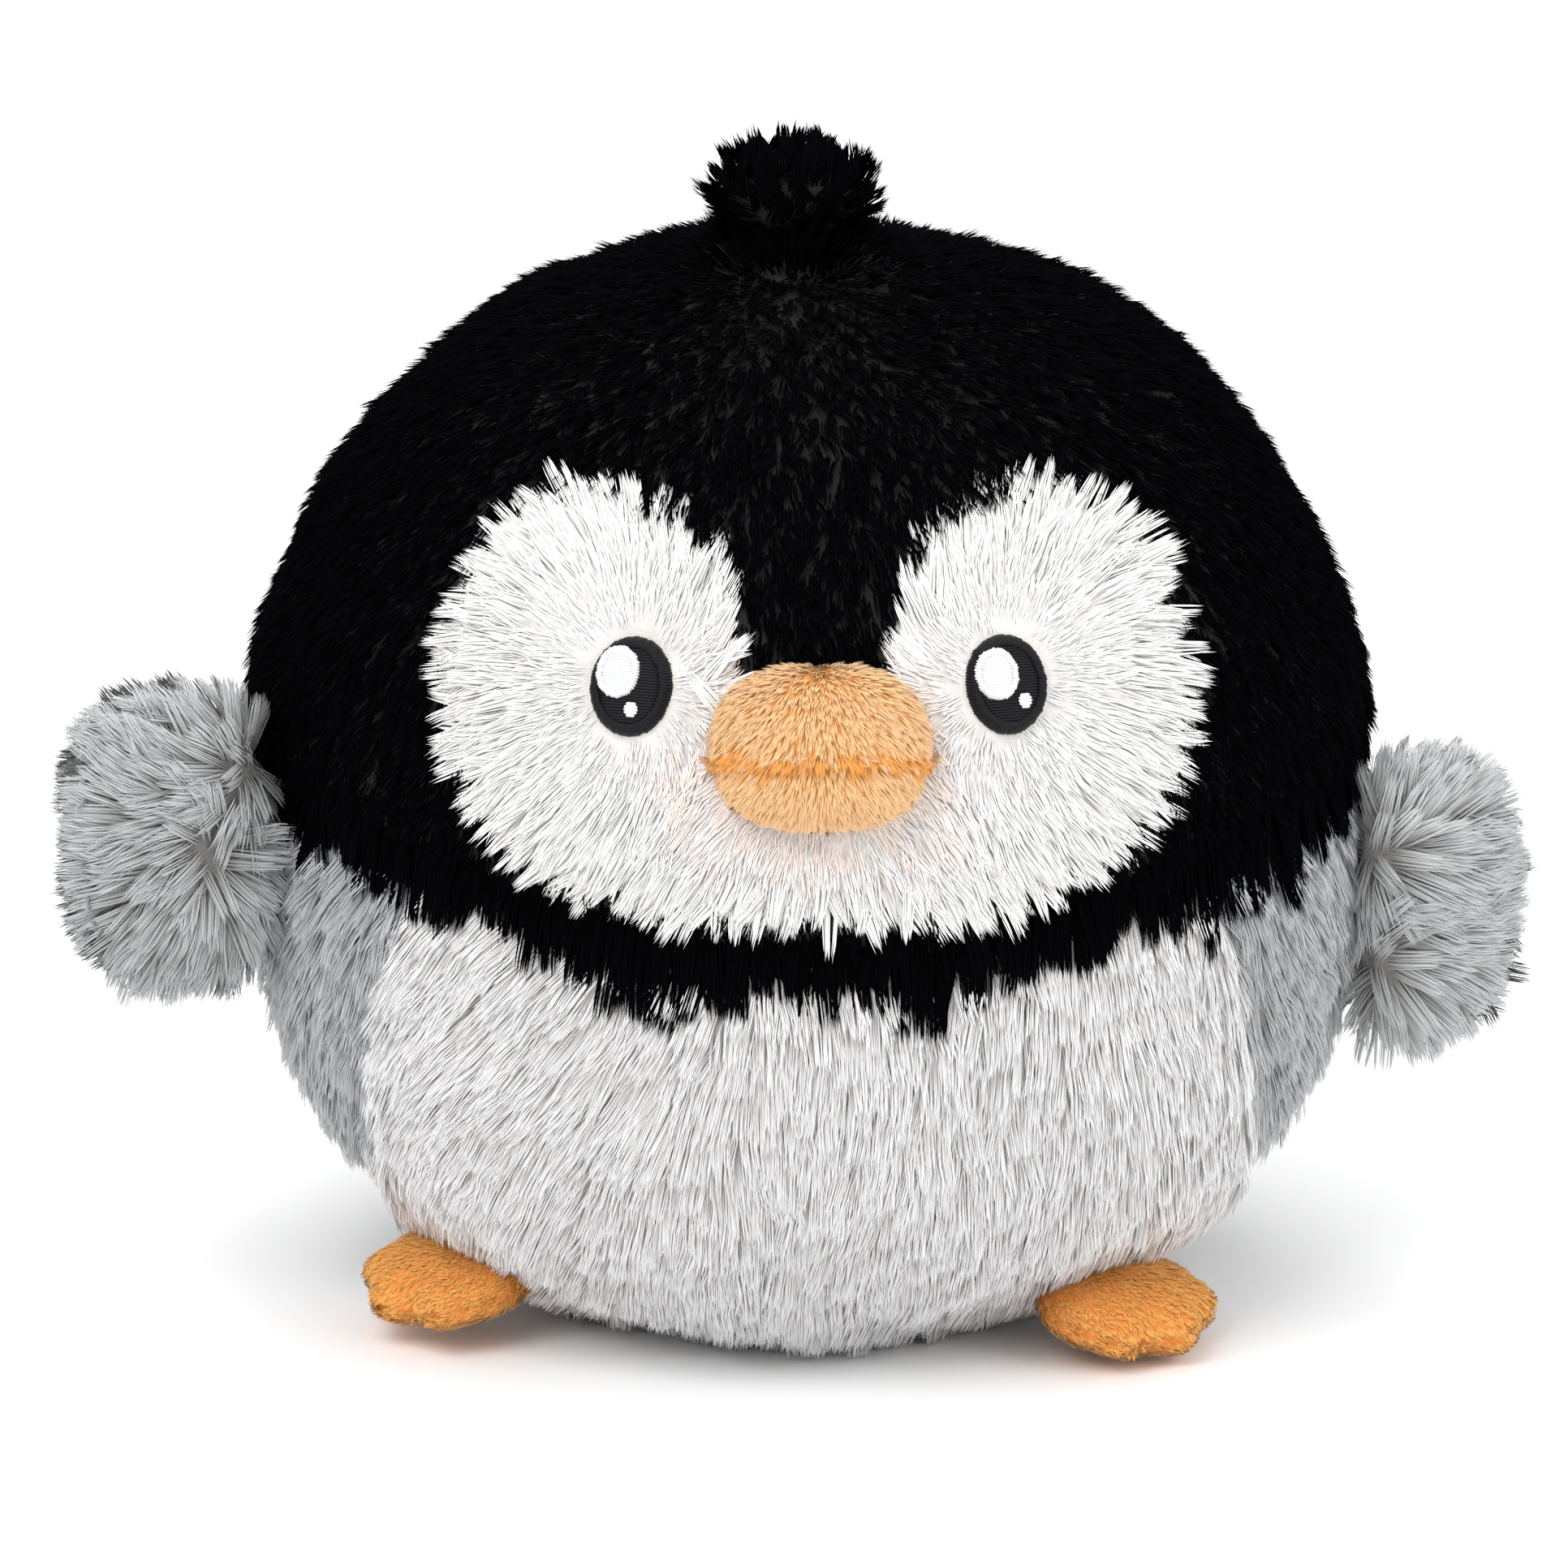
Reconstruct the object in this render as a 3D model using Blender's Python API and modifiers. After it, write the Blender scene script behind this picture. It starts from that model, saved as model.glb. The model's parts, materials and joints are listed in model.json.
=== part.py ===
"""A round plush penguin chick: hood, face, belly and back panels sewn over a fibre core, with stuffed
wings, feet, beak and crest. Metres, +Z up. It faces -Y and sits on a flat base at z = 0. Right and left
are the penguin's own, so its right side is at -X.
"""

import math

import bmesh
import bpy
from mathutils import Matrix, Vector

MM = 0.001

# Body: a fuller-than-round egg, cut flat underneath. Heights called *_above are from the body's centre.
BODY_CENTRE_Z = 79.5 * MM
BODY_HALF_WIDTH = 86 * MM
BODY_HALF_DEPTH = 81 * MM
BODY_TOP_ABOVE = 86 * MM
BODY_BOTTOM_BELOW = 83 * MM
TOP_FULLNESS = 2.15
BOTTOM_FULLNESS = 2.5
BODY_SEGMENTS = 40
BODY_TOP_RINGS = 9
BODY_BOTTOM_RINGS = 9
PANEL_THICK = 5 * MM
FIT_GAP = 0.4 * MM
SEAM_GAP = 0.4 * MM

# Seams between the body panels
HOOD_SEAM_SIDE = ((-100, -12), (-80, -6.5), (-72, -3), (-64, 1.5), (-50, 4), (-30, 6.5), (0, 8), (100, 8))
HOOD_SIDE_SEAM_Y = 6 * MM
FACE_SEAM_HALF = (
    (0, 31), (11.5, 33), (14.5, 44), (20, 51.5), (32.5, 55.5), (44, 50), (50.5, 36),
    (49.5, 21), (44, 12.5), (35, 7), (20, 4), (0, 3.5),
)
BELLY_SEAM_SIDE = (
    (-100, 40), (-60, 4), (-54, -8), (-49, -21), (-42, -35), (-27, -50), (0, -61), (30, -69), (47, -97),
)
BASE_PANEL_RADIUS = 31 * MM
CUT_REACH = 130 * MM
FACE_CUT_FRONT_Y = -110 * MM
FACE_CUT_BACK_Y = -22 * MM

# Embroidered eyes: each layer is an oval patch with its own size and offset from the eye's centre
EYE_OUT = 27.4 * MM
EYE_ABOVE = 33.2 * MM
EYE_LAYERS = (
    ("pupil", 13.2, 15.2, 1.0, 0.0, 0.0),
    ("highlight", 6.8, 7.6, 0.6, -1.7, 1.9),
    ("sparkle", 2.1, 2.2, 0.6, 1.3, -3.4),
)
EYE_SEGMENTS = 20
EYE_CLEARANCE = 0.55 * MM

# Beak: two stuffed domes, the upper one larger, with the mouth crease between them
BEAK_ABOVE = 24 * MM
BEAK_CLEARANCE = 1.0 * MM
BEAK_UPPER = {"width": 28.5, "height": 13, "proud": 9, "offset": 6.6}
BEAK_LOWER = {"width": 26, "height": 9.4, "proud": 8, "offset": -4.9}

# Stuffed pads: outline length away from the seam, width along it, and full thickness
PAD_WALL = 2.2 * MM
PAD_FILL_GAP = 1.3 * MM
PAD_SEGMENTS = 16
PAD_RINGS = 8

WING_LENGTH, WING_WIDTH, WING_THICK = 26 * MM, 40 * MM, 12 * MM
WING_CLEARANCE = 2.8 * MM
WING_POSES = {
    "right": {"above": 0.5, "turn": 71, "sweep": 8},
    "left": {"above": -14.6, "turn": 75, "sweep": 55},
}

FOOT_LENGTH, FOOT_WIDTH, FOOT_THICK = 21 * MM, 27 * MM, 8.4 * MM
FOOT_ROOT_Z = 8 * MM
FOOT_SLOPE = 12
FOOT_CLEARANCE = 2.6 * MM
FOOT_TURN = {"right": 62, "left": 50}
TOE_COUNT = 3
TOE_DEPTH = 0.07

CREST_LENGTH, CREST_WIDTH, CREST_THICK = 10.5 * MM, 21 * MM, 9 * MM
CREST_ROOT = (-2.2 * MM, -8 * MM, 87.9 * MM)

SIDES = (("right", -1), ("left", 1))

BLACK = (0.006, 0.006, 0.008)
WHITE = (0.82, 0.81, 0.80)
LIGHT_GREY = (0.66, 0.66, 0.66)
MID_GREY = (0.38, 0.39, 0.41)
ORANGE = (0.83, 0.33, 0.09)
PEACH = (0.88, 0.50, 0.26)
THREAD_BLACK = (0.012, 0.012, 0.016)
THREAD_WHITE = (0.85, 0.85, 0.86)
FIBRE = (0.86, 0.86, 0.84)
BACKING = (0.70, 0.69, 0.67)


# ---------------------------------------------------------------- scene helpers

def clear_scene():
    for obj in list(bpy.data.objects):
        bpy.data.objects.remove(obj)


def new_collection(name):
    collection = bpy.data.collections.new(name)
    bpy.context.scene.collection.children.link(collection)
    return collection


def material(name, colour, roughness=0.9):
    made = bpy.data.materials.new(name)
    made.use_nodes = True
    shader = made.node_tree.nodes["Principled BSDF"]
    shader.inputs["Base Color"].default_value = (*colour, 1)
    shader.inputs["Roughness"].default_value = roughness
    shader.inputs["Metallic"].default_value = 0
    return made


def add_object(name, mesh, collection):
    obj = bpy.data.objects.new(name, mesh)
    collection.objects.link(obj)
    return obj


def add_cutter(name, mesh):
    obj = add_object(name, mesh, bpy.data.collections["cutters"])
    obj.hide_render = True
    obj.display_type = "WIRE"
    return obj


def applied(obj):
    """The object with its modifiers made part of its mesh."""
    bpy.context.view_layer.update()
    mesh = bpy.data.meshes.new_from_object(obj.evaluated_get(bpy.context.evaluated_depsgraph_get()))
    obj.modifiers.clear()
    obj.data = mesh
    return obj


def cut(obj, cutter):
    modifier = obj.modifiers.new("cut", "BOOLEAN")
    modifier.operation = "DIFFERENCE"
    modifier.solver = "EXACT"
    modifier.object = cutter
    return applied(obj)


def mesh_from(bm, name, recalculate=True):
    if recalculate:
        bmesh.ops.recalc_face_normals(bm, faces=bm.faces)
    mesh = bpy.data.meshes.new(name)
    bm.to_mesh(mesh)
    bm.free()
    return mesh


def loose_pieces(obj):
    """Splits the object into its separate bodies, and removes the object."""
    bm = bmesh.new()
    bm.from_mesh(obj.data)
    left = set(bm.faces)
    groups = []
    while left:
        group = set()
        front = [left.pop()]
        while front:
            face = front.pop()
            group.add(face)
            near = {other for edge in face.edges for other in edge.link_faces} & left
            left -= near
            front.extend(near)
        groups.append([face.index for face in group])
    bm.free()
    pieces = []
    for group in groups:
        keep = set(group)
        bm = bmesh.new()
        bm.from_mesh(obj.data)
        bmesh.ops.delete(bm, geom=[f for f in bm.faces if f.index not in keep], context="FACES")
        mesh = bpy.data.meshes.new(obj.name)
        bm.to_mesh(mesh)
        bm.free()
        pieces.append(add_object(obj.name, mesh, obj.users_collection[0]))
    bpy.data.objects.remove(obj)
    return pieces


def split(obj, cutter, names):
    """Cuts the object with a thin blade, and names each body by the point (world) that it is nearest to."""
    pieces = loose_pieces(cut(obj, cutter))
    named = {}
    for name, point in names.items():
        near = min(pieces, key=lambda p: (p.closest_point_on_mesh(Vector(point))[1] - Vector(point)).length)
        pieces.remove(near)
        near.name = name
        named[name] = near
    if pieces:
        raise ValueError(f"{len(pieces)} bodies of {list(names)} have no name")
    return named


def blade_box(name, centre, size):
    bm = bmesh.new()
    bmesh.ops.create_cube(bm, size=1)
    bmesh.ops.scale(bm, vec=size, verts=bm.verts)
    bmesh.ops.translate(bm, vec=centre, verts=bm.verts)
    return add_cutter(name, mesh_from(bm, name))


def blade_sheet(name, points, sweep, closed=False):
    """A thin wall that follows the points and is swept along one direction."""
    bm = bmesh.new()
    ring = [bm.verts.new(p) for p in points]
    ends = ring + [ring[0]] if closed else ring
    edges = [bm.edges.new(pair) for pair in zip(ends, ends[1:])]
    swept = bmesh.ops.extrude_edge_only(bm, edges=edges)["geom"]
    bmesh.ops.translate(bm, vec=sweep, verts=[v for v in swept if isinstance(v, bmesh.types.BMVert)])
    blade = add_cutter(name, mesh_from(bm, name))
    solidify = blade.modifiers.new("thickness", "SOLIDIFY")
    solidify.thickness = SEAM_GAP
    solidify.offset = 0
    solidify.use_even_offset = True
    return applied(blade)


def smoothed(points, steps, closed=False):
    """Points on a Catmull-Rom curve through the given ones."""
    last = len(points) if closed else len(points) - 1
    made = []
    for i in range(last):
        if closed:
            near = [Vector(points[(i + k) % len(points)]) for k in (-1, 0, 1, 2)]
        else:
            near = [Vector(points[min(max(i + k, 0), len(points) - 1)]) for k in (-1, 0, 1, 2)]
        a, b, c, d = near
        for step in range(steps):
            t = step / steps
            made.append(
                0.5 * (2 * b + (c - a) * t + (2 * a - 5 * b + 4 * c - d) * t**2 + (3 * b - a - 3 * c + d) * t**3)
            )
    if not closed:
        made.append(Vector(points[-1]))
    return made


# ---------------------------------------------------------------- body

def body_profile(inset):
    """Points (radius, height) down the outer side, from the top pole to the middle of the base."""
    points = []
    for ring in range(BODY_TOP_RINGS):
        angle = math.pi / 2 * (1 - ring / BODY_TOP_RINGS)
        radius = (BODY_HALF_WIDTH - inset) * math.cos(angle) ** (2 / TOP_FULLNESS)
        height = (BODY_TOP_ABOVE - inset) * math.sin(angle) ** (2 / TOP_FULLNESS)
        points.append((radius if ring else 0, height))
    floor = inset - BODY_CENTRE_Z
    lowest = BODY_BOTTOM_BELOW - inset
    last_angle = math.asin((-floor / lowest) ** (BOTTOM_FULLNESS / 2))
    for ring in range(BODY_BOTTOM_RINGS + 1):
        angle = last_angle * ring / BODY_BOTTOM_RINGS
        radius = (BODY_HALF_WIDTH - inset) * math.cos(angle) ** (2 / BOTTOM_FULLNESS)
        height = -lowest * math.sin(angle) ** (2 / BOTTOM_FULLNESS)
        points.append((radius, height))
    points.append((0, floor))
    return points


def body_egg(name, inset, collection):
    bm = bmesh.new()
    verts = [bm.verts.new((radius, 0, height)) for radius, height in body_profile(inset)]
    for pair in zip(verts, verts[1:]):
        bm.edges.new(pair)
    mesh = bpy.data.meshes.new(name)
    bm.to_mesh(mesh)
    bm.free()
    egg = add_object(name, mesh, collection)
    screw = egg.modifiers.new("turn", "SCREW")
    screw.steps = BODY_SEGMENTS
    screw.render_steps = BODY_SEGMENTS
    screw.use_merge_vertices = True
    screw.merge_threshold = 0.1 * MM
    applied(egg)
    depth = (BODY_HALF_DEPTH - inset) / (BODY_HALF_WIDTH - inset)
    egg.data.transform(Matrix.Translation((0, 0, BODY_CENTRE_Z)) @ Matrix.Diagonal((1, depth, 1, 1)))
    bm = bmesh.new()
    bm.from_mesh(egg.data)
    bmesh.ops.recalc_face_normals(bm, faces=bm.faces)
    bm.to_mesh(egg.data)
    bm.free()
    return egg


def hollow(outer, inner):
    """Joins two closed shapes, one inside the other, into one wall, and removes the inner one."""
    bm = bmesh.new()
    bm.from_mesh(inner.data)
    bmesh.ops.reverse_faces(bm, faces=bm.faces)
    bm.from_mesh(outer.data)
    bm.to_mesh(outer.data)
    bm.free()
    bpy.data.objects.remove(inner)
    return outer


def body_surface(x, above, side_y=-1):
    """The point on the outside of the body at this x and height above its centre, and the way out of it."""
    if above >= 0:
        reach, power = BODY_TOP_ABOVE, TOP_FULLNESS
    else:
        reach, power = BODY_BOTTOM_BELOW, BOTTOM_FULLNESS
    ring = (1 - (abs(above) / reach) ** power) ** (1 / power)
    y = side_y * BODY_HALF_DEPTH * math.sqrt(max(ring**2 - (x / BODY_HALF_WIDTH) ** 2, 0))
    rise = math.copysign((abs(above) / reach) ** (power - 1) * ring ** (2 - power) / reach, above)
    out = Vector((x / BODY_HALF_WIDTH**2, y / BODY_HALF_DEPTH**2, rise)).normalized()
    return Vector((x, y, BODY_CENTRE_Z + above)), out


def world_height(above):
    return BODY_CENTRE_Z + above


def body_panels(collection):
    shell = hollow(
        body_egg("shell", 0, collection),
        body_egg("shell_inside", PANEL_THICK, collection),
    )
    reach = CUT_REACH
    hood_points = [Vector((-reach, y * MM, world_height(z * MM))) for y, z in HOOD_SEAM_SIDE]
    hood_blade = blade_sheet("hood_seam", smoothed(hood_points, 3), (2 * reach, 0, 0))
    halves = split(shell, hood_blade, {
        "upper": (0, 0, world_height(BODY_TOP_ABOVE)),
        "lower": (0, 0, 0),
    })
    panels = upper_panels(halves["upper"])
    panels.update(lower_panels(halves["lower"]))
    return panels


def upper_panels(upper):
    """The two face panels, and the hood round them in one front and two back panels."""
    half = [(x * MM, world_height(z * MM)) for x, z in FACE_SEAM_HALF]
    around = half + [(-x, z) for x, z in reversed(half[1:-1])]
    outline = [Vector((x, FACE_CUT_FRONT_Y, z)) for x, z in around]
    face_blade = blade_sheet(
        "face_seam", smoothed(outline, 2, closed=True), (0, FACE_CUT_BACK_Y - FACE_CUT_FRONT_Y, 0), closed=True
    )
    side_blade = blade_box("hood_side_seam", (0, HOOD_SIDE_SEAM_Y, world_height(0)), (0.26, SEAM_GAP, 0.26))
    middle_blade = blade_box("middle_seam", (0, 0, world_height(0)), (SEAM_GAP, 0.26, 0.26))
    crown = world_height(BODY_TOP_ABOVE)
    chin = body_surface(0, 15 * MM)[0]
    panels = split(upper, face_blade, {"hood": (0, 0, crown), "face": chin})
    hood = split(panels["hood"], side_blade, {
        "hood_front": (0, -BODY_HALF_DEPTH, crown),
        "hood_back": (0, BODY_HALF_DEPTH, crown),
    })
    eye_height = world_height(EYE_ABOVE)
    face = split(panels["face"], middle_blade, {
        f"face_{side}": (sign * EYE_OUT, -BODY_HALF_DEPTH, eye_height) for side, sign in SIDES
    })
    back = split(hood["hood_back"], middle_blade, {
        f"hood_back_{side}": (sign * BODY_HALF_WIDTH, BODY_HALF_DEPTH, eye_height) for side, sign in SIDES
    })
    return {"hood_front": hood["hood_front"], **face, **back}


def lower_panels(lower):
    """The belly, the two back panels that reach round the sides, and the round base."""
    corners = 32
    ring = [
        Vector((
            BASE_PANEL_RADIUS * math.cos(math.tau * i / corners),
            BASE_PANEL_RADIUS * math.sin(math.tau * i / corners),
            -10 * MM,
        ))
        for i in range(corners)
    ]
    base_blade = blade_sheet("base_seam", ring, (0, 0, 22 * MM), closed=True)
    side_points = [Vector((-CUT_REACH, y * MM, world_height(z * MM))) for y, z in BELLY_SEAM_SIDE]
    belly_blade = blade_sheet("belly_seam", smoothed(side_points, 3), (2 * CUT_REACH, 0, 0))
    middle_blade = bpy.data.objects["middle_seam"]
    panels = split(lower, base_blade, {"base_panel": (0, 0, 0), "around": (0, -BODY_HALF_DEPTH, 60 * MM)})
    front = (0, -BODY_HALF_DEPTH, 50 * MM)
    back = (0, BODY_HALF_DEPTH, 60 * MM)
    around = split(panels["around"], belly_blade, {"belly": front, "back": back})
    backs = split(around["back"], middle_blade, {
        f"back_{side}": (sign * BODY_HALF_WIDTH, BODY_HALF_DEPTH, 60 * MM) for side, sign in SIDES
    })
    return {"base_panel": panels["base_panel"], "belly": around["belly"], **backs}


# ---------------------------------------------------------------- stuffed pads

def oval(angle):
    return math.cos(angle), math.sin(angle)


def wing_outline(angle):
    """A D shape: a long straight root at -x and a round tip at +x."""
    c, s = math.cos(angle), math.sin(angle)
    power = 2 / 3.2 if c < 0 else 2 / 2.2
    return math.copysign(abs(c) ** power, c), math.copysign(abs(s) ** power, s)


def foot_outline(angle):
    """An oval with its root at -x and rounded toes at +x."""
    c, s = math.cos(angle), math.sin(angle)
    toes = TOE_DEPTH * max(c, 0) * math.cos(2 * TOE_COUNT * math.asin(max(min(s, 1), -1)) * 0.5 * 1.33)
    return c * (1 + toes), s * (1 + toes)


def pad_solid(name, outline, length, width, thick, inset, collection):
    """A closed pad with its root edge's middle at the origin, reaching along +X, thick along Y."""
    bm = bmesh.new()
    bmesh.ops.create_uvsphere(bm, u_segments=PAD_SEGMENTS, v_segments=PAD_RINGS, radius=1)
    half = (length / 2 - inset, thick / 2 - inset, width / 2 - inset)
    for vert in bm.verts:
        across = math.hypot(vert.co.x, vert.co.y)
        x, z = outline(math.atan2(vert.co.y, vert.co.x))
        vert.co = (length / 2 + half[0] * across * x, -half[1] * vert.co.z, half[2] * across * z)
    return add_object(name, mesh_from(bm, name, recalculate=False), collection)


def stuffed_pad(names, outline, size, collection):
    """Two panels sewn edge to edge round a filling, in the pad's own frame. The first panel faces -Y."""
    length, width, thick = size
    front_name, back_name, filling_name = names
    shell = hollow(
        pad_solid("pad", outline, length, width, thick, 0, collection),
        pad_solid("pad_inside", outline, length, width, thick, PAD_WALL, collection),
    )
    blade = blade_box(f"{front_name}_seam", (length / 2, 0, 0), (2 * length, SEAM_GAP, 2 * width))
    made = split(shell, blade, {
        front_name: (length / 2, -thick, 0),
        back_name: (length / 2, thick, 0),
    })
    inset = PAD_WALL + PAD_FILL_GAP
    made[filling_name] = pad_solid(filling_name, outline, length, width, thick, inset, collection)
    return made


def joint_empty(name, matrix, collection):
    """An empty whose origin is on the joint's axis, and which carries the moving pieces."""
    empty = add_object(name, None, collection)
    empty.empty_display_size = 8 * MM
    empty.matrix_world = matrix
    return empty


def carry(empty, pieces):
    for piece in pieces.values():
        piece.parent = empty


def root_beside_body(sign, turn, height, clearance):
    """A point just off the body, turned this many degrees from the front, and the level way out to it."""
    angle = math.radians(turn)
    way = Vector((sign * math.sin(angle), -math.cos(angle), 0))
    above = height - BODY_CENTRE_Z
    reach, power = (BODY_TOP_ABOVE, TOP_FULLNESS) if above > 0 else (BODY_BOTTOM_BELOW, BOTTOM_FULLNESS)
    ring = (1 - (abs(above) / reach) ** power) ** (1 / power)
    root = way * (ring / math.hypot(way.x / BODY_HALF_WIDTH, way.y / BODY_HALF_DEPTH) + clearance)
    root.z = height
    return root, way


def wing(side, sign, collection):
    pose = WING_POSES[side]
    names = (f"wing_{side}_front", f"wing_{side}_back", f"wing_{side}_filling")
    pieces = stuffed_pad(names, wing_outline, (WING_LENGTH, WING_WIDTH, WING_THICK), collection)
    root, _ = root_beside_body(sign, pose["turn"], world_height(pose["above"] * MM), WING_CLEARANCE)
    facing = math.radians(pose["turn"] + pose["sweep"])
    heading = math.atan2(-math.cos(facing), sign * math.sin(facing))
    if sign < 0:
        # A half turn would swap front and back, so the right wing is turned over about X first.
        for piece in pieces.values():
            piece.data.transform(Matrix.Rotation(math.pi, 4, "X"))
    matrix = Matrix.Translation(root) @ Matrix.Rotation(heading, 4, "Z")
    carry(joint_empty(f"wing_{side}_root", matrix, collection), pieces)
    return pieces


def foot(side, sign, collection):
    names = (f"foot_{side}_top", f"foot_{side}_sole", f"foot_{side}_filling")
    pieces = stuffed_pad(names, foot_outline, (FOOT_LENGTH, FOOT_WIDTH, FOOT_THICK), collection)
    for piece in pieces.values():
        piece.data.transform(Matrix.Rotation(-math.pi / 2, 4, "X"))
    root, way = root_beside_body(sign, FOOT_TURN[side], FOOT_ROOT_Z, FOOT_CLEARANCE)
    heading = math.atan2(way.y, way.x)
    matrix = (
        Matrix.Translation(root)
        @ Matrix.Rotation(heading, 4, "Z")
        @ Matrix.Rotation(math.radians(FOOT_SLOPE), 4, "Y")
    )
    carry(joint_empty(f"foot_{side}_root", matrix, collection), pieces)
    return pieces


def crest(collection):
    names = ("crest_front", "crest_back", "crest_filling")
    pieces = stuffed_pad(names, oval, (CREST_LENGTH, CREST_WIDTH, CREST_THICK), collection)
    x, y, above = CREST_ROOT
    matrix = Matrix.Translation((x, y, world_height(above))) @ Matrix.Rotation(-math.pi / 2, 4, "Y")
    carry(joint_empty("crest_root", matrix, collection), pieces)
    return pieces


# ---------------------------------------------------------------- face details

def on_body(point, out):
    """A frame at the point with Z out of the body, X level and Y up the body."""
    across = Vector((0, 0, 1)).cross(out).normalized()
    up = out.cross(across)
    matrix = Matrix((across, up, out)).transposed().to_4x4()
    return Matrix.Translation(point) @ matrix


def eye(side, sign, collection):
    point, out = body_surface(sign * EYE_OUT, EYE_ABOVE)
    level = EYE_CLEARANCE
    pieces = {}
    for layer, width, height, thick, across, up in EYE_LAYERS:
        name = f"eye_{side}_{layer}"
        bm = bmesh.new()
        bmesh.ops.create_cone(
            bm, cap_ends=True, segments=EYE_SEGMENTS, radius1=1, radius2=0.94, depth=1
        )
        bmesh.ops.scale(bm, vec=(width / 2 * MM, height / 2 * MM, thick * MM), verts=bm.verts)
        obj = add_object(name, mesh_from(bm, name), collection)
        if layer == "pupil":
            rest = level
            above_pupil = level + (thick + 0.3) * MM
        else:
            rest = above_pupil
        obj.matrix_world = on_body(point, out) @ Matrix.Translation((across * MM, up * MM, rest + thick / 2 * MM))
        pieces[name] = obj
    return pieces


def beak_dome(name, shape, inset, back, collection):
    """Half a stuffed pad, standing out along the beak's Z from a flat back."""
    bm = bmesh.new()
    bmesh.ops.create_uvsphere(bm, u_segments=PAD_SEGMENTS, v_segments=PAD_RINGS, radius=1)
    size = (shape["width"] / 2 * MM - inset, shape["height"] / 2 * MM - inset, shape["proud"] * MM - inset)
    bmesh.ops.scale(bm, vec=size, verts=bm.verts)
    low = [v for v in bm.verts if v.co.z < -1e-6]
    bmesh.ops.delete(bm, geom=low, context="VERTS")
    rim = [e for e in bm.edges if e.is_boundary]
    bmesh.ops.holes_fill(bm, edges=rim, sides=0)
    bmesh.ops.translate(bm, vec=(0, shape["offset"] * MM, back), verts=bm.verts)
    return add_object(name, mesh_from(bm, name), collection)


def beak(collection):
    pieces = {}
    point, out = body_surface(0, BEAK_ABOVE)
    frame = on_body(point + out * BEAK_CLEARANCE, out)
    for part, shape in (("upper", BEAK_UPPER), ("lower", BEAK_LOWER)):
        panel = beak_dome(f"beak_{part}", shape, 0, 0, collection)
        hole = beak_dome(f"beak_{part}_hole", shape, PAD_WALL, -1 * MM, bpy.data.collections["cutters"])
        hole.hide_render = True
        hole.display_type = "WIRE"
        cut(panel, hole)
        filling = beak_dome(f"beak_{part}_filling", shape, PAD_WALL + PAD_FILL_GAP, 0, collection)
        for obj in (panel, hole, filling):
            obj.matrix_world = frame
        pieces[panel.name] = panel
        pieces[filling.name] = filling
    return pieces


# ---------------------------------------------------------------- the whole toy

def dress(pieces):
    """Gives every piece its colour."""
    colours = {
        "hood": material("black_pile", BLACK),
        "crest": material("black_crest_pile", BLACK),
        "face": material("white_pile", WHITE),
        "belly": material("light_grey_pile", LIGHT_GREY),
        "back": material("mid_grey_pile", MID_GREY),
        "wing": material("silver_grey_pile", MID_GREY),
        "foot": material("orange_pile", ORANGE),
        "beak": material("peach_pile", PEACH),
        "base": material("woven_backing", BACKING, 0.8),
    }
    fibre = material("polyester_fibre", FIBRE)
    threads = {
        "pupil": material("black_thread", THREAD_BLACK, 0.45),
        "highlight": material("white_thread", THREAD_WHITE, 0.45),
        "sparkle": material("white_thread_dot", THREAD_WHITE, 0.45),
    }
    for name, obj in pieces.items():
        words = name.split("_")
        if words[-1] == "filling":
            chosen = fibre
        elif words[0] == "eye":
            chosen = threads[words[-1]]
        else:
            chosen = colours[words[0]]
        obj.data.materials.clear()
        obj.data.materials.append(chosen)
        for polygon in obj.data.polygons:
            polygon.use_smooth = True


def main():
    clear_scene()
    toy = new_collection("plush_penguin")
    new_collection("cutters")
    pieces = {"body_filling": body_egg("body_filling", PANEL_THICK + FIT_GAP, toy)}
    pieces.update(body_panels(toy))
    for side, sign in SIDES:
        pieces.update(eye(side, sign, toy))
        pieces.update(wing(side, sign, toy))
        pieces.update(foot(side, sign, toy))
    pieces.update(beak(toy))
    pieces.update(crest(toy))
    dress(pieces)


main()
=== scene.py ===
"""Looks of the round plush penguin chick: long clumped pile on every panel, embroidered eyes, a stuffed
beak, wings, feet and a small crest. Everything is in metres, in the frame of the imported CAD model.
"""

import json
import math

import bmesh  # noqa: E402
import bpy  # noqa: E402
import numpy as np  # noqa: E402
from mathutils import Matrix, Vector  # noqa: E402
from mathutils.kdtree import KDTree  # noqa: E402


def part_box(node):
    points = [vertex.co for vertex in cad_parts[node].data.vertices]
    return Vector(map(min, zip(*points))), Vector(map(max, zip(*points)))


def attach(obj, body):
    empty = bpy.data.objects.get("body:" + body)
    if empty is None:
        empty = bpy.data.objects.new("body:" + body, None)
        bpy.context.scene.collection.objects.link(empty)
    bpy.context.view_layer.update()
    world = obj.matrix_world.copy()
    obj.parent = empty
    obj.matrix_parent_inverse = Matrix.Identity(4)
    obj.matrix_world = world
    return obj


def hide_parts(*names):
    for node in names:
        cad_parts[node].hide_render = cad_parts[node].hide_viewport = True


MM = 0.001
SEED = 20

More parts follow.
